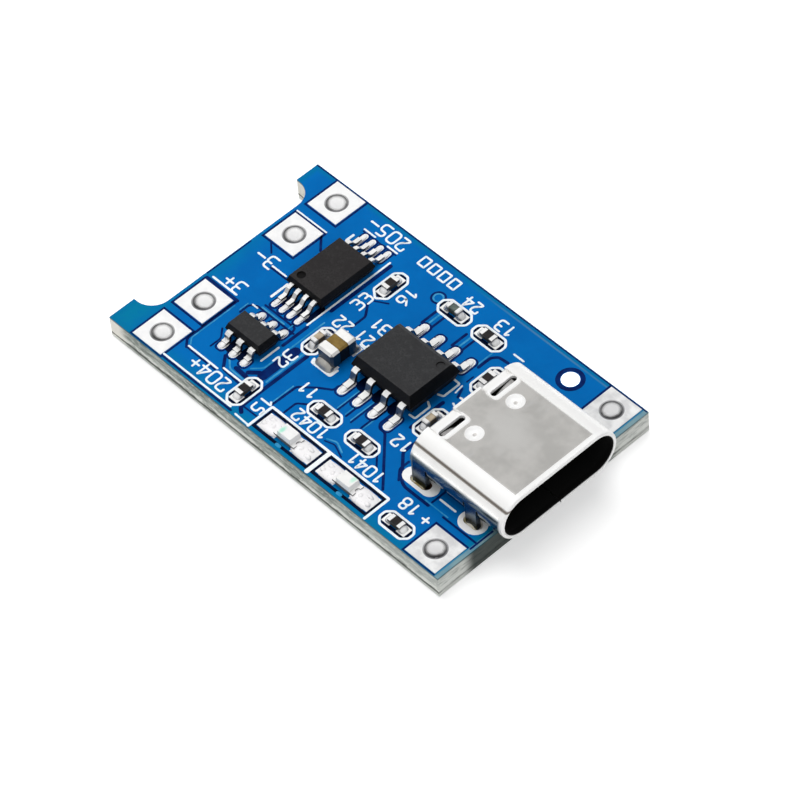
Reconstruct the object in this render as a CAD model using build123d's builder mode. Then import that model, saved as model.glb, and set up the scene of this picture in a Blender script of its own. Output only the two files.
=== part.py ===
from build123d import *
import os

# A lithium cell charger board: a bare circuit board with a USB-C socket at one end,
# six plated solder terminals, three chips, two indicator lamps and small chip parts.
# Millimetres. +X points out of the USB socket, +Y away from the lamp edge, +Z up.
# The origin is under the middle of the whole module, on the board's underside.

# Board
board_length = 27.5
board_thickness = 1.6
usb_overhang = 1.13
notch_depth = 1.53
notch_radius = 1.3
notch_tab_near = 1.92
notch_tab_far = 1.7
tooling_hole_diameter = 1.1
tooling_hole_gap = 1.54

# Solder terminals: square lands joined by a plated barrel
terminal_side = 2.42
terminal_bore = 1.3
barrel_wall = 0.17
plating_thickness = 0.04
terminal_edge_margin = 0.15
terminal_end_margin = 0.37
terminal_notch_margin = 0.36
terminal_slot_gap = 0.405
terminal_pair_gap_near = 0.8
terminal_pair_gap_far = 0.97

# USB-C socket shell, folded from one sheet
shell_width = 8.94
shell_height = 3.16
shell_length = 7.35
shell_sheet = 0.3
shell_shift = 0.18
shell_seam = 0.08
mouth_lip_radius = 0.12
mouth_lead_in = 0.1
dimple_diameter = 0.95
dimple_depth = 0.15
dimple_spacing = 3.2
dimple_setback = 2.15
tab_inner_offset = 1.05
tab_width = 1.9
tab_length = 0.72
tab_slit = 0.42
tab_drop = 0.2
rear_window_side = 0.87
rear_window_length = 1.45

# Shell legs, rear pair then front pair: width and land; the slots follow the legs
rear_leg_inset = 0.62
front_leg_setback = 2.55
leg_widths = (1.1, 0.9)
leg_reach = 1.25
leg_relief = 0.15
slot_clearance = 0.2
slot_width = 0.7
slot_land_sizes = ((2.6, 1.15), (1.85, 1.5))
slot_plating = 0.06
land_corner_share = 0.3
solder_recess = 0.25

# USB-C socket moulding and contacts
plug_length = 1.15
moulding_gap = 0.02
tongue_width = 6.69
tongue_thickness = 0.7
tongue_setback = 1.6
tongue_root_length = 1.2
tongue_root_side_gap = 0.47
tongue_root_height = 1.3
tongue_root_chamfer = 0.25
tongue_tip_chamfer = 0.17
mid_plate_thickness = 0.15
contact_width = 0.25
contact_thickness = 0.12
contact_tip_gap = 0.45
contact_offsets = (0.25, 0.75, 1.25, 2.75)
upper_tail_offsets = (0.25, 1.25, 2.55, 3.35)
lower_tail_offsets = (0.75, 1.75, 2.25, 3.05)
tail_length = 0.55
tail_land_length = 0.85
narrow_land_offsets = (0.25, 0.75, 1.25, 1.75)
wide_land_offsets = (2.4, 3.2)
narrow_land_width = 0.3
wide_land_width = 0.6
peg_diameter = 0.5
peg_hole_diameter = 0.65
peg_side_gap = 1.58
peg_inset = 0.9
peg_reach = 0.9
riser_inset = 0.3
latch_setback = 1.9
latch_length = 1.1
latch_depth = 0.3
plate_tip_cover = 0.2
plate_embed = 0.4

# Chip parts: length, width and height of the body, end cap length
small_length = 1.0
small_width = 0.5
resistor_height = 0.35
capacitor_height = 0.5
small_cap = 0.25
bulk_length = 2.0
bulk_width = 1.3
bulk_height = 1.25
bulk_cap = 0.65
cap_skin = 0.03
overcoat_thickness = 0.02
cap_edge_share = 0.1
small_land_reach = 0.9
small_land_length = 0.62
small_land_width = 0.68
bulk_land_reach = 1.3
bulk_land_length = 0.75
bulk_land_width = 1.4
fillet_share = 0.65
fillet_hollow = 0.3

# Indicator lamps
lamp_length = 1.7
lamp_width = 0.85
lamp_base_height = 0.25
lamp_lens_length = 1.15
lamp_lens_height = 0.35
lamp_lens_draft = 8
lamp_end_bite = 0.18
lamp_contact_length = 0.27
lamp_contact_skin = 0.03
lamp_die_side = 0.25
lamp_die_height = 0.12
lamp_land_reach = 2.1
lamp_land_length = 1.45
lamp_land_width = 1.15
lamp_solder_width = 0.28

# Leaded chips
stand_off = 0.12
lead_embed = 0.3
body_draft = 20
lead_thickness = 0.18
lead_shoulder = 0.22
lead_bend_cut = 0.1
toe_fillet = 0.2
dot_diameter = 0.55
dot_depth = 0.08
dot_inset = 0.65

charger_length = 4.9
charger_width = 3.9
charger_height = 1.45
charger_pitch = 1.27
charger_side_leads = 4
charger_lead_width = 0.42
charger_lead_span = 6.0
charger_foot = 0.6
charger_land_span = 7.1
charger_land_length = 1.35
charger_land_width = 0.6
charger_bevel = 0.2

switch_length = 3.0
switch_width = 4.3
switch_height = 0.85
switch_pitch = 0.65
switch_side_leads = 4
switch_lead_width = 0.28
switch_lead_span = 6.4
switch_foot = 0.5
switch_land_span = 7.6
switch_land_length = 1.1
switch_land_width = 0.44

guard_length = 2.9
guard_width = 1.6
guard_height = 0.9
guard_pitch = 0.95
guard_side_leads = 3
guard_lead_width = 0.4
guard_lead_span = 2.8
guard_foot = 0.35
guard_land_span = 3.65
guard_land_length = 0.8
guard_land_width = 0.6

# Free gaps between neighbours, in order along the board or across it from the lamp edge
middle_row_gaps = (1.42, 1.2, 0.69, 0.88, 0.75, 0.98)
lamp_row_gaps = (5.19, 1.99, 0.68, 0.99, 0.67)
chip_column_gaps = (2.775, 0.625, 1.8)
small_column_gaps = (0.75, 3.7, 3.9, 2.7)
charger_column_gaps = (0.485, 1.705, 1.2, 1.34, 2.11)
rear_column_gaps = (6.5, 2.55, 3.8)
guard_shift = 0.1
resistor_5_shift = -0.06
resistor_6_shift = -0.03
resistor_7_shift = 0.14
above_charger_shifts = (-1.48, 1.33)
below_charger_shifts = (-1.36, 1.75)

# Places that follow from the sizes above. The board is as wide as the socket's slots need
# with a terminal beside each front slot.
leg_offset = (shell_width - shell_sheet) / 2
shell_inner_width = shell_width - 2 * shell_sheet
shell_inner_height = shell_height - 2 * shell_sheet
rear_window_width = shell_width - 2 * rear_window_side
slots_half_width = leg_offset + slot_land_sizes[1][1] / 2
board_width = 2 * (
    shell_shift + slots_half_width + terminal_slot_gap + terminal_side + terminal_edge_margin
)
board_left = -(board_length + usb_overhang) / 2
board_right = board_left + board_length
near_edge = -board_width / 2
far_edge = board_width / 2
top = board_thickness
mouth_x = board_right + usb_overhang
rear_x = mouth_x - shell_length
shell_mid_z = top + shell_height / 2
shell_top = top + shell_height
terminal_inset = terminal_edge_margin + terminal_side / 2
terminal_step = terminal_side + terminal_pair_gap_near
terminal_step_far = terminal_side + terminal_pair_gap_far
battery_column = board_left + notch_depth + terminal_notch_margin + terminal_side / 2
input_column = board_right - terminal_end_margin - terminal_side / 2


def spread(start, end, widths, gaps):
    # Centres of pieces laid side by side; the free room is shared out as the gaps are
    room = end - start - sum(widths)
    centres = []
    for width, gap in zip(widths, gaps):
        start += room * gap / sum(gaps)
        centres.append(start + width / 2)
        start += width
    return centres


row_start = battery_column + terminal_side / 2
switch_x, small_column_x, bulk_x, charger_x, rear_column_x = spread(
    row_start,
    rear_x - tail_land_length,
    (switch_length, small_width, bulk_width, charger_length, small_width),
    middle_row_gaps,
)
resistor_4_x, lamp_1_x, lamp_2_x, resistor_6_x = spread(
    row_start,
    input_column - terminal_side / 2,
    (small_land_width, 2 * lamp_land_reach, 2 * lamp_land_reach, 2 * small_land_reach),
    lamp_row_gaps,
)
guard_y, switch_y = spread(near_edge, far_edge, (guard_land_span, switch_land_span), chip_column_gaps)
resistor_4_y, capacitor_1_y, resistor_5_y = spread(
    near_edge, far_edge, [2 * small_land_reach] * 3, small_column_gaps
)
lamp_y, below_charger_y, charger_y, above_charger_y = spread(
    near_edge,
    far_edge,
    (lamp_land_width, small_land_width, charger_land_span, small_land_width),
    charger_column_gaps,
)
capacitor_3_y, resistor_7_y = spread(near_edge, far_edge, [2 * small_land_reach] * 2, rear_column_gaps)

charger_at = (charger_x, charger_y)
switch_at = (switch_x, switch_y)
guard_at = (switch_x + guard_shift, guard_y)
bulk_at = (bulk_x, capacitor_1_y)
lamp_places = {"lamp_1": (lamp_1_x, lamp_y), "lamp_2": (lamp_2_x, lamp_y)}
# Small chip parts: place, and the angle of the long side from +X
resistor_places = {
    "resistor_1": ((charger_x + below_charger_shifts[0], below_charger_y), 0),
    "resistor_2": ((charger_x + below_charger_shifts[1], below_charger_y), 0),
    "resistor_3": ((charger_x + above_charger_shifts[1], above_charger_y), 0),
    "resistor_4": ((resistor_4_x, resistor_4_y), 90),
    "resistor_5": ((small_column_x + resistor_5_shift, resistor_5_y), 90),
    "resistor_6": ((resistor_6_x, lamp_y + resistor_6_shift), 0),
    "resistor_7": ((rear_column_x + resistor_7_shift, resistor_7_y), 90),
}
capacitor_places = {
    "capacitor_1": ((small_column_x, capacitor_1_y), 90),
    "capacitor_2": ((charger_x + above_charger_shifts[0], above_charger_y), 0),
    "capacitor_3": ((rear_column_x, capacitor_3_y), 90),
}
terminal_places = {
    "terminal_output_plus": (battery_column, near_edge + terminal_inset),
    "terminal_battery_plus": (battery_column, near_edge + terminal_inset + terminal_step),
    "terminal_battery_minus": (battery_column, far_edge - terminal_inset - terminal_step_far),
    "terminal_output_minus": (battery_column, far_edge - terminal_inset),
    "terminal_input_plus": (input_column, near_edge + terminal_inset),
    "terminal_input_minus": (input_column, far_edge - terminal_inset),
}
tooling_hole_x = input_column - (terminal_side + tooling_hole_diameter) / 2 - tooling_hole_gap
tooling_hole_at = (tooling_hole_x, far_edge - terminal_inset)

tab_rows = [shell_shift + side * (tab_inner_offset + tab_width / 2) for side in (-1, 1)]

# Legs stand in line with the shell's side walls; each has (place, width, land size)
leg_columns = (rear_x + rear_leg_inset, mouth_x - front_leg_setback)
legs = [
    ((leg_x, shell_shift + side * leg_offset), width, land_size)
    for leg_x, width, land_size in zip(leg_columns, leg_widths, slot_land_sizes)
    for side in (-1, 1)
]
peg_places = [
    (rear_x + peg_inset, shell_shift + side * (shell_width / 2 - peg_side_gap)) for side in (-1, 1)
]

os.makedirs("parts", exist_ok=True)


def save(piece, name):
    piece.part.label = name
    export_step(piece.part, f"parts/{name}.step")


def level(height, at=(0, 0), turn=0):
    # A plane parallel to the board at a height, centred on a place and turned about +Z
    return Plane(Location((at[0], at[1], height), (0, 0, turn)))


def side_plane(at, turn=0, along=0, height=0):
    # An upright plane: its own +X is the board's +X turned about +Z, its own +Y is up.
    # Its origin is at a distance along that direction from a place, and at a height.
    direction = Vector(1, 0, 0).rotate(Axis.Z, turn)
    start = Vector(at[0], at[1], height) + direction * along
    return Plane(origin=start, x_dir=direction, z_dir=direction.cross(Vector(0, 0, 1)))


def cut_land(length, width):
    # A rectangular land with its corners cut off, in the sketch being made
    with BuildSketch(mode=Mode.PRIVATE) as land:
        Rectangle(length, width)
        chamfer(land.vertices(), width * land_corner_share)
    add(land.sketch)


# Board
with BuildPart() as board:
    with BuildSketch(Plane.XY) as outline:
        with Locations((board_left + board_length / 2, 0)):
            Rectangle(board_length, board_width)
        notch_start = near_edge + notch_tab_near
        notch_end = far_edge - notch_tab_far
        with Locations((board_left, (notch_start + notch_end) / 2)):
            RectangleRounded(2 * notch_depth, notch_end - notch_start, notch_radius, mode=Mode.SUBTRACT)
        with Locations(tooling_hole_at):
            Circle(tooling_hole_diameter / 2, mode=Mode.SUBTRACT)
        with Locations(*terminal_places.values()):
            Circle(terminal_bore / 2 + barrel_wall, mode=Mode.SUBTRACT)
        with Locations(*peg_places):
            Circle(peg_hole_diameter / 2, mode=Mode.SUBTRACT)
        for leg_at, leg_width, _ in legs:
            with Locations(leg_at):
                SlotOverall(
                    leg_width + 2 * slot_clearance + 2 * slot_plating,
                    slot_width + 2 * slot_plating,
                    mode=Mode.SUBTRACT,
                )
    extrude(amount=board_thickness)
    # The lower lands lie flush in the underside, so the board rests on one plane
    with BuildSketch(Plane.XY) as land_seats:
        with Locations(*terminal_places.values()):
            Rectangle(terminal_side, terminal_side)
        for leg_at, _, land_size in legs:
            with Locations(leg_at):
                cut_land(*land_size)
    extrude(amount=plating_thickness, mode=Mode.SUBTRACT)
board.part.label = "board"
export_step(board.part, "parts/board.step")

# Solder terminals
for name, place in terminal_places.items():
    with BuildPart() as terminal:
        with BuildSketch(level(0, place), level(top, place)):
            Rectangle(terminal_side, terminal_side)
        extrude(amount=plating_thickness)
        with BuildSketch(level(0, place)):
            Circle(terminal_bore / 2 + barrel_wall)
        extrude(amount=top)
        with BuildSketch(level(0, place)):
            Circle(terminal_bore / 2)
        extrude(amount=top + plating_thickness, mode=Mode.SUBTRACT)
    save(terminal, name)

# Plating of the four leg slots, one group
with BuildPart() as slot_lining:
    for leg_at, leg_width, land_size in legs:
        slot_length = leg_width + 2 * slot_clearance
        with BuildSketch(level(top, leg_at)):
            SlotOverall(*land_size)
        extrude(amount=plating_thickness)
        with BuildSketch(level(0, leg_at)):
            cut_land(*land_size)
        extrude(amount=plating_thickness)
        with BuildSketch(level(0, leg_at)):
            SlotOverall(slot_length + 2 * slot_plating, slot_width + 2 * slot_plating)
        extrude(amount=top)
        with BuildSketch(level(0, leg_at)):
            SlotOverall(slot_length, slot_width)
        extrude(amount=top + plating_thickness, mode=Mode.SUBTRACT)
save(slot_lining, "slot_lining")

# Solder on both faces of each leg, in the straight part of its slot
with BuildPart() as slot_solder:
    for leg_at, leg_width, _ in legs:
        with BuildSketch(level(solder_recess, leg_at)):
            Rectangle(leg_width + 2 * slot_clearance - slot_width, slot_width)
        extrude(amount=top - 2 * solder_recess)
        with BuildSketch(level(top - leg_reach, leg_at)):
            Rectangle(leg_width, shell_sheet)
        extrude(amount=leg_reach, mode=Mode.SUBTRACT)
save(slot_solder, "slot_solder")

# USB-C shell: a stadium tube with folded tabs at the rear and four legs
mouth_plane = Plane(origin=(mouth_x, shell_shift, shell_mid_z), x_dir=(0, 1, 0), z_dir=(1, 0, 0))
with BuildPart() as usb_shell:
    with BuildSketch(mouth_plane):
        SlotOverall(shell_width, shell_height)
    extrude(amount=-shell_length)
    fillet(usb_shell.faces().sort_by(Axis.X)[-1].edges(), mouth_lip_radius)
    with BuildSketch(mouth_plane):
        SlotOverall(shell_inner_width, shell_inner_height)
    extrude(amount=-shell_length, mode=Mode.SUBTRACT)
    chamfer(usb_shell.faces().sort_by(Axis.X)[-1].inner_wires()[0].edges(), mouth_lead_in)
    # Window in the bottom for the moulding's foot, and the seam where the sheet's ends meet
    with BuildSketch(level(top, (rear_x + rear_window_length / 2, shell_shift))):
        Rectangle(rear_window_length, rear_window_width)
    extrude(amount=shell_height / 2, mode=Mode.SUBTRACT)
    with BuildSketch(level(top, (mouth_x - shell_length / 2, shell_shift))):
        Rectangle(shell_length, shell_seam)
    extrude(amount=shell_sheet, mode=Mode.SUBTRACT)
    # Tabs pressed down at the rear, each behind a slit with round ends
    for tab_y in tab_rows:
        with BuildSketch(level(shell_mid_z, (rear_x + tab_length, tab_y))):
            with Locations((-tab_length / 2, 0)):
                Rectangle(tab_length, tab_width)
            with Locations((tab_slit / 2, 0)):
                SlotOverall(tab_width, tab_slit, rotation=90)
        extrude(amount=shell_height / 2, mode=Mode.SUBTRACT)
        with BuildSketch(side_plane((rear_x, tab_y))):
            with BuildLine():
                Polyline(
                    (0, shell_top - tab_drop),
                    (tab_length, shell_top),
                    (tab_length, shell_top - shell_sheet),
                    (0, shell_top - shell_sheet - tab_drop),
                    close=True,
                )
            make_face()
        extrude(amount=tab_width / 2, both=True)
    # Dimples pressed into the top
    for side in (-1, 1):
        dimple_radius = (dimple_diameter**2 / 4 + dimple_depth**2) / (2 * dimple_depth)
        dimple_centre = (
            rear_x + dimple_setback,
            shell_shift + side * dimple_spacing / 2,
            shell_top - dimple_depth + dimple_radius,
        )
        with Locations(dimple_centre):
            Sphere(dimple_radius, mode=Mode.SUBTRACT)
    # Legs drop from the widest line of the side walls, which are cut away below them
    for leg_at, leg_width, _ in legs:
        with BuildSketch(level(top, leg_at)):
            Rectangle(leg_width + 2 * leg_relief, shell_height)
        extrude(amount=shell_height / 2, mode=Mode.SUBTRACT)
        with BuildSketch(side_plane(leg_at)):
            with BuildLine():
                Polyline(
                    (-leg_width / 2, shell_mid_z),
                    (leg_width / 2, shell_mid_z),
                    (leg_width / 2, top - leg_reach + shell_sheet),
                    (leg_width / 2 - shell_sheet, top - leg_reach),
                    (-leg_width / 2 + shell_sheet, top - leg_reach),
                    (-leg_width / 2, top - leg_reach + shell_sheet),
                    close=True,
                )
            make_face()
        extrude(amount=shell_sheet / 2, both=True)
save(usb_shell, "usb_shell")

# USB-C contacts: a flat strip on the tongue, a slanted run through the moulding,
# a drop at the rear and a foot on the board
riser_x = rear_x + riser_inset
tongue_root_x = rear_x + plug_length
contact_tip_x = mouth_x - tongue_setback - contact_tip_gap
foot_z = top + plating_thickness
tail_x = rear_x - tail_length


def contact_row(strip_z, tails):
    # One row of contacts whose strips start at a height, with its tails at the given offsets
    with BuildPart() as row:
        for side in (-1, 1):
            for strip_offset, tail_offset in zip(contact_offsets, tails):
                strip_y = shell_shift + side * strip_offset
                tail_y = shell_shift + side * tail_offset
                half = contact_width / 2
                with BuildSketch(level(strip_z)):
                    with BuildLine():
                        Polyline(
                            (contact_tip_x, strip_y - half),
                            (contact_tip_x, strip_y + half),
                            (tongue_root_x, strip_y + half),
                            (riser_x, tail_y + half),
                            (riser_x - contact_thickness, tail_y + half),
                            (riser_x - contact_thickness, tail_y - half),
                            (riser_x, tail_y - half),
                            (tongue_root_x, strip_y - half),
                            close=True,
                        )
                    make_face()
                extrude(amount=contact_thickness)
                with BuildSketch(side_plane((riser_x - contact_thickness, tail_y))):
                    with BuildLine():
                        Polyline(
                            (contact_thickness, strip_z),
                            (0, strip_z),
                            (0, foot_z + contact_thickness),
                            (tail_x - riser_x + contact_thickness, foot_z + contact_thickness),
                            (tail_x - riser_x + contact_thickness, foot_z),
                            (contact_thickness, foot_z),
                            close=True,
                        )
                    make_face()
                extrude(amount=half, both=True)
    return row


usb_upper_contacts = contact_row(
    shell_mid_z + tongue_thickness / 2 - contact_thickness, upper_tail_offsets
)
save(usb_upper_contacts, "usb_upper_contacts")
usb_lower_contacts = contact_row(shell_mid_z - tongue_thickness / 2, lower_tail_offsets)
save(usb_lower_contacts, "usb_lower_contacts")

# Steel plate in the middle of the tongue; its side edges carry the latch notches
latch_x = mouth_x - tongue_setback - latch_setback
with BuildPart() as usb_mid_plate:
    plate_start = mouth_x - tongue_setback - plate_tip_cover
    plate_end = tongue_root_x - plate_embed
    with BuildSketch(level(shell_mid_z - mid_plate_thickness / 2)):
        with Locations(((plate_start + plate_end) / 2, shell_shift)):
            Rectangle(plate_start - plate_end, tongue_width)
        for side in (-1, 1):
            with Locations((latch_x, shell_shift + side * tongue_width / 2)):
                Rectangle(latch_length, 2 * latch_depth, mode=Mode.SUBTRACT)
    extrude(amount=mid_plate_thickness)
save(usb_mid_plate, "usb_mid_plate")

# USB-C moulding: the plug that fills the shell's rear, the tongue, the foot and two pegs
with BuildPart() as usb_moulding:
    root_plane = Plane(origin=(tongue_root_x, shell_shift, shell_mid_z), x_dir=(0, 1, 0), z_dir=(1, 0, 0))
    with BuildSketch(root_plane):
        SlotOverall(shell_inner_width - 2 * moulding_gap, shell_inner_height - 2 * moulding_gap)
    extrude(amount=-plug_length)
    with BuildSketch(root_plane):
        root = Rectangle(shell_inner_width - 2 * tongue_root_side_gap, tongue_root_height)
        chamfer(root.vertices(), tongue_root_chamfer)
    extrude(amount=tongue_root_length)
    with BuildSketch(root_plane):
        Rectangle(tongue_width, tongue_thickness)
    extrude(amount=shell_length - plug_length - tongue_setback)
    tongue_tip = usb_moulding.faces().sort_by(Axis.X)[-1]
    chamfer(tongue_tip.edges().filter_by(Axis.Y), tongue_tip_chamfer)
    foot_length = rear_window_length - moulding_gap
    foot_width = rear_window_width - 2 * moulding_gap
    with BuildSketch(level(foot_z, (rear_x + foot_length / 2, shell_shift))):
        Rectangle(foot_length, foot_width)
    extrude(amount=shell_mid_z - foot_z)
    with BuildSketch(level(foot_z)):
        with Locations(*peg_places):
            Circle(peg_diameter / 2)
    extrude(amount=-peg_reach)
    for side in (-1, 1):
        # Latch notches in the tongue
        with BuildSketch(level(shell_mid_z - tongue_thickness / 2)):
            with Locations((latch_x, shell_shift + side * tongue_width / 2)):
                Rectangle(latch_length, 2 * latch_depth)
        extrude(amount=tongue_thickness, mode=Mode.SUBTRACT)
    # Pockets under the shell's pressed tabs
    pocket_length = tab_length + tab_slit + 2 * moulding_gap
    for tab_y in tab_rows:
        pocket_floor = shell_top - shell_sheet - tab_drop - moulding_gap
        with BuildSketch(level(pocket_floor, (rear_x + (tab_length + tab_slit) / 2, tab_y))):
            Rectangle(pocket_length, tab_width + 2 * moulding_gap)
        extrude(amount=shell_height, mode=Mode.SUBTRACT)
    add(usb_upper_contacts.part, mode=Mode.SUBTRACT)
    add(usb_lower_contacts.part, mode=Mode.SUBTRACT)
    add(usb_mid_plate.part, mode=Mode.SUBTRACT)
save(usb_moulding, "usb_moulding")


def lead_offsets(pitch, count):
    return [(index - (count - 1) / 2) * pitch for index in range(count)]


def gull_leads(at, width, height, pitch, count, lead_width, lead_span, foot):
    # Bent leads on both long sides, with feet on the lands and roots inside the body;
    # each bend is a short facet between the straight runs
    shoulder_end = Vector(width / 2 + lead_shoulder, top + stand_off + height / 2)
    foot_start = Vector(lead_span / 2 - foot, foot_z + lead_thickness / 2)
    along = Vector(lead_bend_cut, 0)
    down = (foot_start - shoulder_end).normalized() * lead_bend_cut
    with BuildPart() as leads:
        for side in (-1, 1):
            for offset in lead_offsets(pitch, count):
                with BuildSketch(side_plane((at[0] + offset, at[1]), side * 90)):
                    with BuildLine():
                        Polyline(
                            (width / 2 - lead_embed, shoulder_end.Y),
                            shoulder_end - along,
                            shoulder_end + down,
                            foot_start - down,
                            foot_start + along,
                            (lead_span / 2, foot_start.Y),
                        )
                    trace(line_width=lead_thickness)
                extrude(amount=lead_width / 2, both=True)
    return leads


def chip_body(at, length, width, height, leads, bevel=0, dot=None):
    # A moulded body that tapers away from its parting line, closed round its leads
    part_line_z = top + stand_off + height / 2
    with BuildPart() as body:
        for direction in (1, -1):
            with BuildSketch(Plane(origin=(at[0], at[1], part_line_z), z_dir=(0, 0, direction))):
                Rectangle(length, width)
            extrude(amount=height / 2, taper=body_draft)
        if bevel:
            chamfer(body.faces().sort_by(Axis.Z)[-1].edges().sort_by(Axis.Y)[-1], bevel)
        if dot:
            with BuildSketch(level(part_line_z + height / 2, (at[0] + dot[0], at[1] + dot[1]))):
                Circle(dot_diameter / 2)
            extrude(amount=-dot_depth, mode=Mode.SUBTRACT)
        add(leads.part, mode=Mode.SUBTRACT)
    return body


charger_chip_leads = gull_leads(
    charger_at, charger_width, charger_height, charger_pitch, charger_side_leads,
    charger_lead_width, charger_lead_span, charger_foot,
)
save(charger_chip_leads, "charger_chip_leads")
charger_dot = (charger_length / 2 - dot_inset, charger_width / 2 - charger_bevel - dot_inset)
charger_chip_body = chip_body(
    charger_at, charger_length, charger_width, charger_height,
    charger_chip_leads, charger_bevel, charger_dot,
)
save(charger_chip_body, "charger_chip_body")

switch_chip_leads = gull_leads(
    switch_at, switch_width, switch_height, switch_pitch, switch_side_leads,
    switch_lead_width, switch_lead_span, switch_foot,
)
save(switch_chip_leads, "switch_chip_leads")
switch_dot = (dot_inset - switch_length / 2, dot_inset - switch_width / 2)
switch_chip_body = chip_body(
    switch_at, switch_length, switch_width, switch_height, switch_chip_leads, dot=switch_dot
)
save(switch_chip_body, "switch_chip_body")

guard_chip_leads = gull_leads(
    guard_at, guard_width, guard_height, guard_pitch, guard_side_leads,
    guard_lead_width, guard_lead_span, guard_foot,
)
save(guard_chip_leads, "guard_chip_leads")
guard_chip_body = chip_body(guard_at, guard_length, guard_width, guard_height, guard_chip_leads)
save(guard_chip_body, "guard_chip_body")


def chip_resistor(name, place, turn):
    # A ceramic bar with an overcoat on top and a metal cap folded over each end
    with BuildPart() as bar:
        with BuildSketch(level(foot_z + cap_skin, place, turn)):
            Rectangle(small_length - 2 * cap_skin, small_width)
        extrude(amount=resistor_height - 2 * cap_skin)
        with BuildSketch(level(foot_z + resistor_height - cap_skin, place, turn)):
            Rectangle(small_length - 2 * small_cap, small_width)
        extrude(amount=cap_skin + overcoat_thickness)
    save(bar, name + "_body")
    with BuildPart() as caps:
        with BuildSketch(level(foot_z, place, turn)):
            with Locations((-(small_length - small_cap) / 2, 0), ((small_length - small_cap) / 2, 0)):
                Rectangle(small_cap, small_width)
        extrude(amount=resistor_height)
        add(bar.part, mode=Mode.SUBTRACT)
    save(caps, name + "_caps")


def chip_capacitor(name, place, turn, length, width, height, cap):
    # A layered ceramic block with a metal cup on each end and softened edges
    edge_cut = width * cap_edge_share
    with BuildPart() as block:
        with BuildSketch(level(foot_z + cap_skin, place, turn)):
            Rectangle(length - 2 * cap_skin, width - 2 * cap_skin)
        extrude(amount=height - 2 * cap_skin)
        chamfer(block.edges(), edge_cut - cap_skin / 2)
    save(block, name + "_body")
    with BuildPart() as caps:
        with BuildSketch(level(foot_z, place, turn)):
            Rectangle(length, width)
        extrude(amount=height)
        chamfer(caps.edges(), edge_cut)
        with BuildSketch(level(foot_z, place, turn)):
            Rectangle(length - 2 * cap, width)
        extrude(amount=height, mode=Mode.SUBTRACT)
        add(block.part, mode=Mode.SUBTRACT)
    save(caps, name + "_caps")


for name, (place, turn) in resistor_places.items():
    chip_resistor(name, place, turn)
for name, (place, turn) in capacitor_places.items():
    chip_capacitor(name, place, turn, small_length, small_width, capacitor_height, small_cap)
chip_capacitor("bulk_capacitor", bulk_at, 90, bulk_length, bulk_width, bulk_height, bulk_cap)

# Indicator lamps: a base with bitten ends, metal end contacts, a die and a clear lens
for name, place in lamp_places.items():
    with BuildPart() as contacts:
        with BuildSketch(level(foot_z, place)):
            with Locations(
                (-(lamp_length - lamp_contact_length) / 2, 0), ((lamp_length - lamp_contact_length) / 2, 0)
            ):
                Rectangle(lamp_contact_length, lamp_width)
            with Locations((-lamp_length / 2, 0), (lamp_length / 2, 0)):
                Circle(lamp_end_bite, mode=Mode.SUBTRACT)
        extrude(amount=lamp_base_height)
        with BuildSketch(level(foot_z + lamp_contact_skin, place)) as core:
            Rectangle(lamp_length - 2 * lamp_contact_skin, lamp_width)
            with Locations((-lamp_length / 2, 0), (lamp_length / 2, 0)):
                Circle(lamp_end_bite + lamp_contact_skin, mode=Mode.SUBTRACT)
        extrude(amount=lamp_base_height - 2 * lamp_contact_skin, mode=Mode.SUBTRACT)
    save(contacts, name + "_contacts")
    with BuildPart() as base:
        with BuildSketch(level(foot_z, place)):
            Rectangle(lamp_length - 2 * lamp_contact_skin, lamp_width)
            with Locations((-lamp_length / 2, 0), (lamp_length / 2, 0)):
                Circle(lamp_end_bite + lamp_contact_skin, mode=Mode.SUBTRACT)
        extrude(amount=lamp_base_height)
        add(contacts.part, mode=Mode.SUBTRACT)
    save(base, name + "_base")
    with BuildPart() as die:
        with BuildSketch(level(foot_z + lamp_base_height, place)):
            Rectangle(lamp_die_side, lamp_die_side)
        extrude(amount=lamp_die_height)
    save(die, name + "_die")
    with BuildPart() as lens:
        with BuildSketch(level(foot_z + lamp_base_height, place)):
            Rectangle(lamp_lens_length, lamp_width)
        extrude(amount=lamp_lens_height, taper=lamp_lens_draft)
        add(die.part, mode=Mode.SUBTRACT)
    save(lens, name + "_lens")

# Lands: tinned copper under every foot and cap
with BuildPart() as chip_lands:
    with BuildSketch(level(top, charger_at)):
        for offset in lead_offsets(charger_pitch, charger_side_leads):
            for side in (-1, 1):
                with Locations((offset, side * (charger_land_span - charger_land_length) / 2)):
                    Rectangle(charger_land_width, charger_land_length)
    with BuildSketch(level(top, switch_at)):
        for offset in lead_offsets(switch_pitch, switch_side_leads):
            for side in (-1, 1):
                with Locations((offset, side * (switch_land_span - switch_land_length) / 2)):
                    Rectangle(switch_land_width, switch_land_length)
    with BuildSketch(level(top, guard_at)):
        for offset in lead_offsets(guard_pitch, guard_side_leads):
            for side in (-1, 1):
                with Locations((offset, side * (guard_land_span - guard_land_length) / 2)):
                    Rectangle(guard_land_width, guard_land_length)
    extrude(amount=plating_thickness)
save(chip_lands, "chip_lands")

# Chip parts and lamps as (place, turn, body length, solder width, end height, land sizes)
small_lands = (small_land_reach, small_land_length, small_land_width)
mounted_parts = [
    (place, turn, small_length, small_width, resistor_height, small_lands)
    for place, turn in resistor_places.values()
]
mounted_parts += [
    (place, turn, small_length, small_width, capacitor_height, small_lands)
    for place, turn in capacitor_places.values()
]
bulk_lands = (bulk_land_reach, bulk_land_length, bulk_land_width)
mounted_parts.append((bulk_at, 90, bulk_length, bulk_width, bulk_height, bulk_lands))
lamp_lands = (lamp_land_reach, lamp_land_length, lamp_land_width)
mounted_parts += [
    (place, 0, lamp_length, lamp_solder_width, lamp_base_height, lamp_lands)
    for place in lamp_places.values()
]

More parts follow.
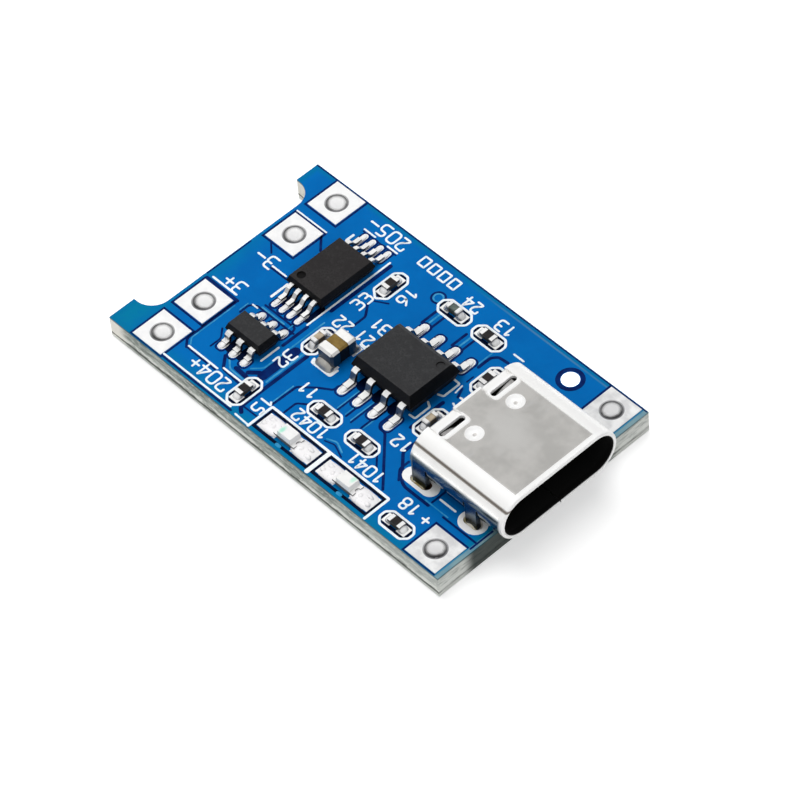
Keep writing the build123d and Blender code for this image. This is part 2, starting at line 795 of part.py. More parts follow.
with BuildPart() as part_lands:
    for place, turn, length, width, height, (reach, land_length, land_width) in mounted_parts:
        with BuildSketch(level(top, place, turn)):
            with Locations((land_length / 2 - reach, 0), (reach - land_length / 2, 0)):
                Rectangle(land_length, land_width)
        extrude(amount=plating_thickness)
save(part_lands, "part_lands")

with BuildPart() as usb_lands:
    with BuildSketch(level(top, (rear_x - tail_land_length / 2, shell_shift))):
        for side in (-1, 1):
            for offset in narrow_land_offsets:
                with Locations((0, side * offset)):
                    Rectangle(tail_land_length, narrow_land_width)
            for offset in wide_land_offsets:
                with Locations((0, side * offset)):
                    Rectangle(tail_land_length, wide_land_width)
    extrude(amount=plating_thickness)
save(usb_lands, "usb_lands")


def solder_group(wedges):
    # Hollow wedges of solder; each plane starts where an end face meets its land
    with BuildPart() as group:
        for plane, reach, height, width in wedges:
            with BuildSketch(plane):
                with BuildLine():
                    Line((0, height), (0, 0))
                    Line((0, 0), (reach, 0))
                    Polyline((reach, 0), (reach * fillet_hollow, height * fillet_hollow), (0, height))
                make_face()
            extrude(amount=width / 2, both=True)
    return group


part_solder = solder_group(
    (
        side_plane(place, turn + end, length / 2, foot_z),
        reach - length / 2,
        height * fillet_share,
        width,
    )
    for place, turn, length, width, height, (reach, land_length, land_width) in mounted_parts
    for end in (0, 180)
)
save(part_solder, "part_solder")

leaded_chips = (
    (charger_at, charger_pitch, charger_side_leads, charger_lead_width, charger_lead_span),
    (switch_at, switch_pitch, switch_side_leads, switch_lead_width, switch_lead_span),
    (guard_at, guard_pitch, guard_side_leads, guard_lead_width, guard_lead_span),
)
chip_solder = solder_group(
    (
        side_plane((at[0] + offset, at[1]), side * 90, lead_span / 2, foot_z),
        toe_fillet,
        lead_thickness,
        lead_width,
    )
    for at, pitch, count, lead_width, lead_span in leaded_chips
    for side in (-1, 1)
    for offset in lead_offsets(pitch, count)
)
save(chip_solder, "chip_solder")
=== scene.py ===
import itertools
import math

import bpy
import bmesh
from mathutils import Matrix, Vector


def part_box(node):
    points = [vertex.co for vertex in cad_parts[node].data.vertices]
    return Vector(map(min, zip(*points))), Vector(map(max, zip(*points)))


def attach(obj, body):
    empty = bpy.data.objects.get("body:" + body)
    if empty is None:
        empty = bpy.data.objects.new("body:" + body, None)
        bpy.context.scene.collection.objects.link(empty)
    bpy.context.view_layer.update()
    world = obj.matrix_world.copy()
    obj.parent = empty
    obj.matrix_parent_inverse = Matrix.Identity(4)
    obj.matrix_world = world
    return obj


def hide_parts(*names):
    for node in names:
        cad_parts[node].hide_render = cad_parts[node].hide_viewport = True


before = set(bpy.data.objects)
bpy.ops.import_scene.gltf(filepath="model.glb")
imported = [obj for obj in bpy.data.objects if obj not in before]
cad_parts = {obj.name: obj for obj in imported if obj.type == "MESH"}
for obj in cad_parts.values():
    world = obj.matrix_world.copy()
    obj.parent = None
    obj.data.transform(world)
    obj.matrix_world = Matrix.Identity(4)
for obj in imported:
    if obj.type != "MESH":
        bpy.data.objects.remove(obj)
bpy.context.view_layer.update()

# Places are in millimetres from the board's corner at the battery end and the lamp edge,
# heights in millimetres above the board's upper face.
mm = 0.001
boardLow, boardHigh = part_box("board")
boardLength = (boardHigh.x - boardLow.x) / mm
boardWidth = (boardHigh.y - boardLow.y) / mm
boardThickness = (boardHigh.z - boardLow.z) / mm


def spot(x, y, height=0.0):
    return Vector((boardLow.x + x * mm, boardLow.y + y * mm, boardHigh.z + height * mm))


def nodeBox(name):
    # A node's box as (low x, low y, high x, high y, low height, high height)
    low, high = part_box(name)
    return (
        (low.x - boardLow.x) / mm, (low.y - boardLow.y) / mm,
        (high.x - boardLow.x) / mm, (high.y - boardLow.y) / mm,
        (low.z - boardHigh.z) / mm, (high.z - boardHigh.z) / mm,
    )


def nodeCentre(name):
    lowX, lowY, highX, highY, _, _ = nodeBox(name)
    return (lowX + highX) / 2, (lowY + highY) / 2


terminals = [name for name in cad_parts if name.startswith("terminal")]
toolingHole = (22.62, 15.09)


def operator(operation):
    # A method of Wire that adds one Math node
    return lambda self, *others: self.graph.add(
        "ShaderNodeMath", {"operation": operation}, dict(enumerate((self, *others)))
    )


class Wire:
    # A socket that takes part in sums
    def __init__(self, graph, socket):
        self.graph, self.socket = graph, socket

    __add__ = __radd__ = operator("ADD")
    __mul__ = __rmul__ = operator("MULTIPLY")
    __sub__, __pow__ = operator("SUBTRACT"), operator("POWER")
    least, most, size = operator("MINIMUM"), operator("MAXIMUM"), operator("ABSOLUTE")

    def __rsub__(self, other):
        return self.graph.add("ShaderNodeMath", {"operation": "SUBTRACT"}, {0: other, 1: self})

    def step(self, start, end):
        # 0 before start, 1 after end, smooth between; start may be the larger
        return self.graph.add(
            "ShaderNodeMapRange", {"interpolation_type": "SMOOTHSTEP"}, {0: self, 1: start, 2: end}
        )

    def near(self, middle, half, soft):
        # 1 within half of the middle, 0 beyond half + soft
        return (self - middle).size().step(half + soft, half)


class Graph:
    # A tree of shader nodes under construction
    def __init__(self, tree):
        self.tree = tree

    def add(self, kind, settings={}, inputs={}, output=0):
        node = self.tree.nodes.new(kind)
        for key, value in settings.items():
            setattr(node, key, value)
        for key, value in inputs.items():
            self.connect(node.inputs[key], value)
        return Wire(self, node.outputs[output])

    def connect(self, socket, value):
        if isinstance(value, Wire):
            self.tree.links.new(value.socket, socket)
        elif hasattr(value, "__len__") and len(value) == 3 and len(socket.default_value) == 4:
            socket.default_value = (*value, 1)
        else:
            socket.default_value = value

    def ray(self, kind):
        # 1 for one kind of ray: Camera, Glossy or Transmission
        return self.add("ShaderNodeLightPath", output=f"Is {kind} Ray")


class Finish(Graph):
    # A material under construction
    def __init__(self, name, **sockets):
        self.material = bpy.data.materials.new(name)
        self.material.use_nodes = True
        super().__init__(self.material.node_tree)
        self.shader = self.tree.nodes["Principled BSDF"]
        self.coordinates = self.add("ShaderNodeTexCoord", output="Object")
        for socket, value in sockets.items():
            self.put(socket.replace("_", " "), value)

    def put(self, name, value):
        self.connect(self.shader.inputs[name], value)

    def blend(self, factor, first, second):
        return self.add(
            "ShaderNodeMix", {"data_type": "RGBA"}, {"Factor": factor, 6: first, 7: second}, output=2
        )

    def layers(self, look, base, *coats):
        # Colours laid over a base in turn, each where its own factor is 1
        colour = look[base]
        for factor, tone in coats:
            colour = self.blend(factor, colour, look[tone])
        return colour

    def noise(self, scale, detail=3, roughness=0.55, stretch=(1, 1, 1)):
        # scale is in features per metre
        place = self.add("ShaderNodeMapping", {}, {"Vector": self.coordinates, "Scale": stretch})
        return self.add(
            "ShaderNodeTexNoise", {}, {"Vector": place, "Scale": scale, "Detail": detail, "Roughness": roughness}
        )

    def cells(self, scale):
        return self.add("ShaderNodeTexVoronoi", {}, {"Vector": self.coordinates, "Scale": scale})

    def parts(self, vector):
        node = self.tree.nodes.new("ShaderNodeSeparateXYZ")
        self.tree.links.new(vector.socket, node.inputs[0])
        return [Wire(self, socket) for socket in node.outputs]

    def places(self):
        # Where the surface is, in the board's millimetres
        x, y, z = self.parts(self.coordinates)
        return (x - boardLow.x) * (1 / mm), (y - boardLow.y) * (1 / mm), (z - boardHigh.z) * (1 / mm)

    def facing(self):
        # The surface's own direction; its last part is 1 on a face that looks up
        return self.parts(self.add("ShaderNodeNewGeometry", output="Normal"))

    def distance(self, x, y, middle):
        # Distance in plan from a point
        return ((x - middle[0]) ** 2 + (y - middle[1]) ** 2) ** 0.5

    def glow(self, factor, strength):
        # Light of its own where the factor is 1
        self.put("Emission Color", self.blend(factor, (0, 0, 0), (1, 1, 1)))
        self.put("Emission Strength", strength)

    def bump(self, height, distance, strength=1.0, edge=0.0):
        # distance and the width of softened edges in millimetres
        inputs = {"Height": height, "Distance": distance * mm, "Strength": strength}
        if edge:
            inputs["Normal"] = self.add("ShaderNodeBevel", {"samples": 6}, {"Radius": edge * mm})
        self.put("Normal", self.add("ShaderNodeBump", {}, inputs))

    def done(self, colour, rough, *bump):
        # The material, complete with its colour, roughness and bump
        self.put("Base Color", colour)
        self.put("Roughness", rough)
        self.bump(*bump)
        return self.material


def scaled(colour, factor):
    return tuple(channel * factor for channel in colour)


# Board: blue mask above and below, glass fibre on every cut edge
def boardFinish():
    look = {
        "mask": (0.0, 0.150, 0.485), "deep": (0.0, 0.131, 0.44), "teal": (0.0, 0.20, 0.35),
        "edge": (0.0, 0.17, 0.36), "edgeBand": 0.55, "paintedRimHighlight": (0.22, 0.35, 0.38),
        "fibre": (0.52, 0.56, 0.52), "pale": (0.88, 0.90, 0.86), "seam": (0.06, 0.065, 0.055),
        "shadeSide": (0.25, 0.28, 0.255), "skin": (0.02, 0.10, 0.13), "shadeUnderSocket": (0.035, 0.048, 0.045),
        "litCream": (1.0, 0.98, 0.90), "paintedLightHoleWall": (0.93, 0.94, 0.95),
    }
    finish = Finish("boardMaskAndFibre", Specular_IOR_Level=0.03)
    x, y, z = finish.places()
    normalX, _, normalZ = finish.facing()
    clouds = finish.noise(330, 4)
    grain = finish.noise(3600)
    wander = (clouds - 0.5) * 1.4
    inset = x.least(boardLength - x).least(y).least(boardWidth - y)
    ends = (x + wander).step(3.2, 0.6) * (y + wander).step(15, 7)
    ends = ends.most((y + wander).step(1.2, 0.2) * 0.6).most((x + wander).step(26.4, 27.3))
    # Painted highlight along the far rim and round the socket end's rim
    rim = y.near(boardWidth - 0.34, 0.03, 0.06) * x.step(13, 19) * 0.25
    rim = rim.most(x.step(boardLength - 0.34, boardLength - 0.2) * 0.95)
    mask = finish.layers(
        look, "mask",
        (clouds.step(0.35, 0.65), "deep"),
        (ends * 0.85, "teal"),
        ((inset + wander * 0.2).step(look["edgeBand"], 0.1) * 0.8, "edge"),
        (grain.step(0.45, 0.75) * 0.25, "deep"),
        (rim * clouds.step(0.2, 0.5), "paintedRimHighlight"),
    )

    level = (z + boardThickness) * (1 / boardThickness)
    ragged = finish.noise(1500, 5, 0.7, (0.55, 0.55, 1.6))
    strands = finish.noise(5200, 3, 0.6, (0.16, 0.16, 1))
    flecks = finish.noise(8200, 3, 0.65, (0.4, 0.4, 1))
    ply = level + (ragged - 0.5) * 0.2
    endFace = normalX.step(0.4, 0.9)
    # Painted light: the tooling hole's wall is painted pale and made to glow, standing for light seen through it
    tooling = finish.distance(x, y, toolingHole).step(0.75, 0.7)
    fibre = finish.layers(
        look, "shadeSide",
        (strands.step(0.38, 0.62), "fibre"),
        (flecks.step(0.52, 0.66) * 0.55, "pale"),
        (flecks.step(0.46, 0.36) * 0.45, "shadeSide"),
        (x.step(17, 27) * 0.4, "pale"),
        (ply.near(0.38, 0.06, 0.07) * ragged.step(0.4, 0.52), "pale"),
        # Painted light: the cut walls at the battery end are made cream-white
        ((x + wander).step(1.7, 0.5), "litCream"),
        (ply.near(0.21, 0.02, 0.05) * strands.step(0.25, 0.45) * 0.9, "seam"),
        (ply.step(0.16, 0.06) * 0.75, "pale"),
        (endFace * strands.step(0.3, 0.6) * 0.6, "pale"),
        # Painted shade on the end face under the socket's overhang
        (endFace * y.near(7.9, 5.1, 1.0) * 0.9, "shadeUnderSocket"),
        (level.step(0.88, 0.975) * 0.85, "skin"),
        (tooling, "paintedLightHoleWall"),
    )
    flat = normalZ.size().step(0.6, 0.8)
    # Painted light: the glow on the tooling hole's wall
    finish.glow(tooling * (1 - flat), 0.55)
    height = ragged * (1 - flat) + clouds * 0.1 + grain * 0.03
    return finish.done(finish.blend(flat, fibre, mask), 0.75 - flat * 0.42, height, 0.1, 0.6)


def tinFinish(name, colour, rough, metal=0.3, cloud=0.05, scale=1500, edge=0.0, side=0.0, sideShade=0.55):
    # Solder-coated metal: soft clouds of brightness and a slightly wavy skin. It is matt white where it lies flat, and
    # mirrors more where it stands up by the amount of side; there its colour is also darkened to sideShade as painted
    # shade.
    finish = Finish(name)
    clouds = finish.noise(scale)
    waves = finish.noise(3800, 2)
    steep = finish.facing()[2].size().step(0.86, 0.4) * side
    skin = finish.blend(clouds.step(0.35, 0.65), scaled(colour, 1 - 2 * cloud), colour)
    skin = finish.blend(steep, skin, scaled(colour, sideShade))
    finish.put("Metallic", steep * (1 - metal) + metal)
    return finish.done(skin, waves * 0.2 + (rough - 0.1), waves + clouds * 0.5, 0.015, 0.3, edge)


def terminalFinish(name):
    # Tinned land with a dark ring round its barrel, partly the barrel's rim and partly painted shade; the barrel's
    # wall carries painted light that darkens with depth, and glows
    look = {
        "tin": (0.97, 0.97, 0.965), "dull": (0.91, 0.91, 0.915), "ring": (0.16, 0.16, 0.17),
        "wall": (0.95, 0.945, 0.94), "deep": (0.09, 0.09, 0.095), "glow": 0.6,
    }
    if "input" in name:
        look |= {"tin": (0.90, 0.90, 0.895), "dull": (0.70, 0.70, 0.705), "glow": 0.48}
    finish = Finish(name.replace("terminal", "pad"), Metallic=0.12)
    x, y, z = finish.places()
    clouds = finish.noise(1300)
    waves = finish.noise(3600, 2)
    middle = nodeCentre(name)
    reach = finish.distance(x, y, middle)
    wall = (1 - finish.facing()[2].size()).step(0.3, 0.7) * reach.step(0.78, 0.72)
    tin = finish.blend(clouds.step(0.35, 0.65), look["dull"], look["tin"])
    # Painted shade: the ring is darker towards +X and -Y
    low = ((x - middle[0]) * 0.8 - (y - middle[1]) * 0.6).step(-0.6, 0.5)
    tin = finish.blend(reach.near(0.68, 0.025, 0.05) * (low * 0.4 + 0.6), tin, look["ring"])
    # Painted light in the barrel: its bright field leans with depth, as light falling in aslant would, and glows
    slantX, slantY = x - z * 0.648, y + z * 0.528
    lit = finish.distance(slantX, slantY, (middle[0] - 0.04, middle[1] + 0.05)) + waves * 0.08
    lit = lit.step(0.68, 0.4)
    tin = finish.blend(wall, tin, finish.blend(lit, look["deep"], look["wall"]))
    finish.glow(wall * lit, look["glow"])
    return finish.done(tin, waves * 0.2 + 0.3, waves + clouds, 0.015, 0.35, 0.03)


def shellFinish():
    # Plated sheet: satin top with rolling clouds and fine scratches, a painted glare patch on the top, painted
    # highlights on every rolled edge, a painted dark line along each side, darker painted reflections low on the sides
    # and legs, and painted shade inside the mouth
    look = {
        "sheet": (0.985, 0.965, 0.93), "cloud": (0.80, 0.785, 0.755), "scuffAndHighlight": (0.97, 0.97, 0.965),
        "paintedDarkLine": (0.19, 0.17, 0.15), "mouthShadeAndSeam": (0.001, 0.001, 0.001), "lower": (0.13, 0.18, 0.22),
        "shadedLeg": (0.04, 0.055, 0.07), "glare": (1.0, 0.985, 0.955),
        "lip": 0.33, "rear": 0.1, "rim": 0.08, "darkLineHeight": 2.70,
        "slits": ((22.21, 6.45), (22.21, 10.36)), "slitHalf": (0.21, 0.95),
        "dimples": ((23.5, 6.9), (23.5, 10.08)),
        "halfFlat": 2.89, "radius": 1.58, "sheetThickness": 0.3,
    }
    finish = Finish("shellSteel", Specular_IOR_Level=0.2)
    x, y, z = finish.places()
    lowX, _, highX, _, _, _ = nodeBox("usb_shell")
    middleY = nodeCentre("usb_shell")[1]
    across = (y - middleY).size()
    clouds = finish.noise(420, 4)
    scratches = finish.noise(2600, 3, 0.6, (0.05, 1, 1))
    scuffs = finish.noise(900, 4, 0.7, (1, 0.3, 1))
    # Painted glare: a bright patch of reflection on the top
    glare = finish.distance(x, y, (24.9, 8.4)) + (clouds - 0.5) * 3

    # Painted highlights on the front lip and the rear edge
    edge = x.step(highX - look["lip"] - 0.1, highX - look["lip"] + 0.04)
    edge = edge.most(x.step(lowX + look["rear"] + 0.15, lowX + look["rear"]))
    upper = z.step(2.4, 2.8)
    halfX, halfY = look["slitHalf"]
    for middle in look["slits"]:
        # Painted highlight on the rolled rim round the slit and on its tab: distance from a rectangle with rounded
        # corners
        overX = ((x - middle[0]).size() - halfX).most(0)
        overY = ((y - middle[1]).size() - (halfY - halfX)).most(0)
        away = (overX ** 2 + overY ** 2) ** 0.5 - halfX * 0.5
        tabHighlight = x.step(middle[0] + 0.1, middle[0] - 0.1) * (y - middle[1]).size().step(1.1, 0.8)
        edge = edge.most(away.step(look["rim"] + 0.22, look["rim"]) * upper).most(tabHighlight * upper * 0.8)
    # Painted highlight round each dimple
    for middle in look["dimples"]:
        reach = finish.distance(x, y, middle)
        edge = edge.most(reach.step(0.6, 0.5) * reach.step(0.06, 0.2) * z.step(2.4, 2.7))
    # Painted highlights on both shoulders, and a bright band low on the near side
    shoulderHighlight = across.step(look["halfFlat"] + 0.02, look["halfFlat"] + 0.16) * z.step(2.7, 2.82)
    shoulderHighlight = shoulderHighlight.most((y - middleY).step(look["halfFlat"] + 0.1, look["halfFlat"] + 0.3) * z.step(2.1, 2.3))
    edge = edge.most(shoulderHighlight * 0.85).most(z.near(2.46, 0.11, 0.12) * y.step(5.4, 5.0) * 0.7)

    # The inside of the tube, told from its distance to the tube's axis, painted black as shade, and the seam below
    # painted dark
    overside = (across - look["halfFlat"]).most(0)
    toAxis = (overside ** 2 + (z - look["radius"]) ** 2) ** 0.5
    mouthShadeAndSeam = toAxis.step(look["radius"] - look["sheetThickness"] * 0.55, look["radius"] - look["sheetThickness"] * 0.8)
    seam = across.step(0.06, 0.045) * z.step(0.4, 0.35)
    mouthShadeAndSeam = mouthShadeAndSeam.most(seam) * x.step(highX - 0.02, highX - 0.06)
    behindLip = x.step(highX - 0.2, highX - 0.4)
    sheet = finish.layers(
        look, "sheet",
        ((clouds + (x - 24.5) * 0.02).step(0.38, 0.66), "cloud"),
        (scuffs.step(0.6, 0.72) * 0.35, "scuffAndHighlight"),
        (glare.step(2.4, 0.6), "glare"),
        (edge, "scuffAndHighlight"),
        # Painted reflection: a dark line along each side where it is widest
        (z.near(look["darkLineHeight"], 0.02, 0.09) * y.step(5.2, 4.8), "paintedDarkLine"),
        # Painted reflection and shade: darker low on the sides, and darker still on the legs
        (z.step(2.28, 1.95) * behindLip, "lower"),
        (z.step(1.1, 0.5) * behindLip, "shadedLeg"),
        (mouthShadeAndSeam, "mouthShadeAndSeam"),
    )
    finish.put("Metallic", (1 - edge * 0.75) * (1 - mouthShadeAndSeam))
    rough = (clouds + scratches + 1) * 0.1 + mouthShadeAndSeam * 0.6 + edge * 0.2
    return finish.done(sheet, rough, scratches * 0.5 + clouds, 0.004, 0.15, 0.05)


def mouldFinish(name, colour, rough, grain, speck, gloss=0.5, edge=0.0, sideShade=1.0, wear=0.0, dot=None):
    # Moulding compound: fine filler grain under a matt skin; its sides are darkened to sideShade of its colour as
    # painted shade
    finish = Finish(name, Specular_IOR_Level=gloss)
    grains = finish.cells(grain)
    clouds = finish.noise(900, 4)
    pale = tuple(channel + speck for channel in colour)
    skin = finish.blend(grains.step(0.25, 0.7) * clouds.step(0.3, 0.7), colour, pale)
    if wear:
        skin = finish.blend(finish.noise(3100, 5, 0.7).step(0.5, 0.72) * wear, skin, scaled(colour, 2.2))
    if dot:
        x, y, z = finish.places()
        skin = finish.blend(finish.distance(x, y, dot).step(0.3, 0.24), skin, scaled(colour, 0.08))
    skin = finish.blend(finish.facing()[2].step(0.8, 0.5), skin, scaled(colour, sideShade))
    return finish.done(skin, clouds * 0.15 + rough, grains + clouds, 0.008, 0.4, edge)


def ceramicFinish(name, colour, shade, side):
    # Fired ceramic: speckled body colour with darker sintered patches, and sides darkened as painted shade
    finish = Finish(name, Specular_IOR_Level=0.2)
    patches = finish.noise(2600, 4)
    specks = finish.cells(9000)
    body = finish.blend(patches.step(0.35, 0.65), colour, shade)
    body = finish.blend(specks.step(0.3, 0.1) * 0.4, body, shade)
    body = finish.blend(finish.facing()[2].step(0.7, 0.4), body, side)
    return finish.done(body, 0.5, patches, 0.01, 0.3, 0.03)


def resistorFinish():
    # Alumina bar, dark on its shaded sides, with a black glass overcoat on its top
    finish = Finish("resistorBar", Specular_IOR_Level=0.4)
    clouds = finish.noise(3000)
    coat = finish.blend(clouds.step(0.35, 0.7), (0.004, 0.003, 0.004), (0.014, 0.008, 0.008))
    coat = finish.blend(finish.facing()[2].step(0.5, 0.8), (0.035,) * 3, coat)
    return finish.done(coat, 0.4, clouds, 0.008, 0.3, 0.02)


def inkFinish():
    # White mark ink: nearly opaque, with pinholes and a soft grain
    finish = Finish("markInk", Specular_IOR_Level=0.3)
    pinholes = finish.cells(5200)
    clouds = finish.noise(1900)
    ink = finish.blend(clouds.step(0.4, 0.75) * 0.55, (0.95, 0.98, 1.0), (0.62, 0.84, 0.96))
    ink = finish.blend(pinholes.step(0.1, 0.04) * 0.5, ink, (0.35, 0.62, 0.85))
    return finish.done(ink, 0.6, clouds, 0.003, 0.3)


def layerFinish(name, dark, light):
    # Mask colours between a dark and a light tone: darker over bare laminate in the gaps, near-black where it is
    # painted shade, and lighter where it is a painted highlight along a track
    finish = Finish(name, Specular_IOR_Level=0.06)
    clouds = finish.noise(2100)
    return finish.done(finish.blend(clouds.step(0.35, 0.7), dark, light), 0.5, clouds, 0.003, 0.3)


def lensFinish(name, body, tint, middle):
    # Cloudy cast resin with a tinted spot over the die's phosphor
    finish = Finish(name, IOR=1.5, Transmission_Weight=0.05)
    x, y, z = finish.places()
    bloom = finish.noise(1800)
    resin = finish.blend(bloom.step(0.4, 0.7), body, scaled(body, 0.95))
    spotted = ((x - middle[0]) ** 2 * 3 + (y - middle[1]) ** 2 * 0.7) ** 0.5 + (bloom - 0.5) * 0.25
    return finish.done(finish.blend(spotted.step(0.36, 0.08), resin, tint), 0.12, bloom, 0.01, 0.3, 0.05)


def fluxFinish():
    # Solder in the leg slots: bright skin with amber flux in its hollows
    finish = Finish("slotFlux", Metallic=0.25)
    clouds = finish.noise(1400)
    x, y, z = finish.places()
    skin = finish.blend(clouds.step(0.4, 0.6), (1.0, 0.97, 0.88), (0.55, 0.46, 0.19))
    pit = finish.distance(x, y, (22.55, 4.2)).step(0.5, 0.3)
    return finish.done(finish.blend(pit, skin, (0.05, 0.016, 0.006)), 0.3, clouds, 0.03, 0.4)


print("finishes")
finishes = {
    "board": boardFinish(),
    "tin": tinFinish("landTin", (0.97, 0.97, 0.965), 0.4, metal=0.15),
    "ring": tinFinish("liningTin", (1.0, 1.0, 0.99), 0.5, metal=0.0, cloud=0.015),
    "lead": tinFinish("leadTin", (0.97, 0.97, 0.96), 0.3, metal=0.15, edge=0.02, side=0.95, sideShade=0.2),
    "cap": tinFinish("capTin", (0.97, 0.965, 0.96), 0.35, metal=0.15, edge=0.03, side=0.9, sideShade=0.16),
    "bulkCap": tinFinish("bulkCapTin", (0.99, 0.985, 0.96), 0.35, metal=0.1, edge=0.03, side=0.95, sideShade=0.06),
    "solder": tinFinish("solderBright", (0.97, 0.97, 0.97), 0.24, metal=0.12, scale=2400, side=0.8, sideShade=0.36),
    "dullSolder": tinFinish("dullSolder", (0.62, 0.60, 0.55), 0.35, metal=0.5, cloud=0.15, side=0.9, sideShade=0.6),
    "white": tinFinish("lampSolder", (0.97, 0.955, 0.965), 0.3, metal=0.08, cloud=0.03, side=0.3, sideShade=0.6),
    "plate": tinFinish("plateSteel", (0.62, 0.61, 0.6), 0.25, metal=1.0, cloud=0.1),
    "gold": tinFinish("contactGold", (0.83, 0.62, 0.27), 0.25, metal=1.0, cloud=0.1),
    "shell": shellFinish(),
    "plug": mouldFinish("socketMoulding", (0.003, 0.003, 0.003), 0.6, 9000, 0.003, gloss=0.1),
    "chip": mouldFinish("chipMould", (0.026, 0.0265, 0.028), 0.5, 9000, 0.012, 0.18, 0.04, 0.03, wear=0.5),
    "darkChip": mouldFinish(
        "darkMould", (0.018, 0.0165, 0.017), 0.5, 9000, 0.010, 0.18, 0.04, 0.03, wear=0.5, dot=(6.38, 9.35)
    ),
    "bulk": ceramicFinish("bulkCeramic", (0.25, 0.165, 0.045), (0.18, 0.115, 0.030), (0.005, 0.0035, 0.002)),
    "beige": ceramicFinish("smallCeramic", (0.55, 0.46, 0.34), (0.38, 0.30, 0.21), (0.12, 0.09, 0.06)),
    "grey": ceramicFinish("paleCeramic", (0.16, 0.20, 0.18), (0.08, 0.10, 0.09), (0.05, 0.06, 0.05)),
    "bar": resistorFinish(),
    "ink": inkFinish(),
    "gap": layerFinish("gapMask", (0.0, 0.009, 0.085), (0.0, 0.022, 0.14)),
    "paintedShade": layerFinish("paintedShadeGround", (0.0, 0.002, 0.014), (0.0, 0.006, 0.035)),
    "highlightLane": layerFinish("maskHighlight", (0.02, 0.24, 0.50), (0.07, 0.36, 0.62)),
    "lampBase": mouldFinish("lampBase", (0.95, 0.95, 0.93), 0.45, 8000, 0.03, sideShade=0.12),
    "lens1": lensFinish("lensMint", (1.0, 1.0, 1.0), (0.42, 0.92, 0.72), (13.92, 0.95)),
    "lens2": lensFinish("lensCream", (1.0, 1.0, 0.98), (0.62, 0.95, 0.80), (19.45, 1.3)),
    "die": mouldFinish("lampDie", (0.45, 0.75, 0.40), 0.3, 9000, 0.1),
    "flux": fluxFinish(),
}
for name in terminals:
    finishes[name] = terminalFinish(name)


nodeFinishes = {
    # The first of these that is part of a node's name says which finish it has
    "slot_lining": "ring", "_lands": "tin", "_leads": "lead", "bulk_capacitor_caps": "bulkCap", "_caps": "cap",
    "lamp_1_lens": "lens1", "lamp_2_lens": "lens2", "_base": "lampBase", "_die": "die",
    "usb_shell": "shell", "usb_mid_plate": "plate", "usb_moulding": "plug", "usb_": "gold",
    "_contacts": "cap", "_solder": "solder", "switch_chip_body": "darkChip", "chip_body": "chip",
    "bulk_capacitor": "bulk", "capacitor_2": "grey", "capacitor": "beige", "resistor": "bar",
}
for name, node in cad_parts.items():
    finishName = name if name in finishes else next(nodeFinishes[part] for part in nodeFinishes if part in name)
    for slot in node.material_slots:
        slot.material = finishes[finishName]


def addObject(name, data):
    item = bpy.data.objects.new(name, data)
    bpy.context.scene.collection.objects.link(item)
    return item


def makePiece(name, mesh, finish, replaced=(), smoothAngle=None):
    data = bpy.data.meshes.new(name)
    bmesh.ops.recalc_face_normals(mesh, faces=mesh.faces)
    mesh.to_mesh(data)
    mesh.free()
    data.materials.append(finishes[finish])
    if smoothAngle:
        data.shade_smooth()
        data.set_sharp_from_angle(angle=math.radians(smoothAngle))
    piece = addObject(name, data)
    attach(piece, "root")
    if replaced:
        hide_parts(*replaced)


def bridge(mesh, loops, capped=True):
    # Faces from each loop of corners to the next, and one over each end
    for first, second in zip(loops, loops[1:]):
        for index in range(len(first)):
            after = (index + 1) % len(first)
            mesh.faces.new((first[index], first[after], second[after], second[index]))
    if capped:
        mesh.faces.new(loops[0][::-1])
        mesh.faces.new(loops[-1])


def turns(sides):
    # Points round a circle of radius 1
    return [(math.cos(2 * math.pi * k / sides), math.sin(2 * math.pi * k / sides)) for k in range(sides)]


def circle(middle, radius, sides=28):
    return [(middle[0] + radius * c, middle[1] + radius * s) for c, s in turns(sides)]


def pairs(numbers):
    # Points from a row of numbers x, y, x, y and so on
    return list(zip(numbers[::2], numbers[1::2]))


def rounded(points, radius, closed=False, steps=4):
    # The same line with its corners turned into curves
    count = len(points)
    line = []
    for index, point in enumerate(points):
        here = Vector(point)
        if not closed and index in (0, count - 1):
            line.append(here)
            continue
        before, after = Vector(points[index - 1]), Vector(points[(index + 1) % count])
        cut = min(radius, (before - here).length / 2.01, (after - here).length / 2.01)
        start = here + (before - here).normalized() * cut
        end = here + (after - here).normalized() * cut
        for step in range(steps + 1):
            share = step / steps
            line.append(start * (1 - share) ** 2 + here * 2 * share * (1 - share) + end * share ** 2)
    return line


def ribbon(mesh, points, width, low, high, closed=False):
    # A flat printed line with round ends: a closed strip of that width between two heights,
    # kept inside the board's outline
    margin = 0.03

    def rim(corners, height):
        return [
            mesh.verts.new(spot(
                min(max(x, margin), boardLength - margin), min(max(y, margin), boardWidth - margin), height
            ))
            for x, y in corners
        ]

    line = [Vector(point) for point in points]
    left, right = [], []
    for index, here in enumerate(line):
        before = line[index - 1] if closed or index else None
        after = line[(index + 1) % len(line)] if closed or index < len(line) - 1 else None
        arms = [(here - before).normalized()] if before is not None else []
        arms += [(after - here).normalized()] if after is not None else []
        along = sum(arms, Vector((0, 0))).normalized()
        side = Vector((-along.y, along.x))
        reach = width / 2 / max(0.5, side.dot(Vector((-arms[0].y, arms[0].x))))
        left.append(here + side * reach)
        right.append(here - side * reach)
    if closed:
        loops = [rim(left, high), rim(right, high), rim(right, low), rim(left, low)]
        bridge(mesh, loops + loops[:1], False)
        return

    def cap(centre, start):
        turn = math.atan2(*(start - centre).yx)
        return [centre + Vector((math.cos(turn - math.pi * k / 5), math.sin(turn - math.pi * k / 5))) * width / 2
                for k in (1, 2, 3, 4)]

    outline = left + cap(line[-1], left[-1]) + right[::-1] + cap(line[0], right[0])
    bridge(mesh, [rim(outline, low), rim(outline, high)])


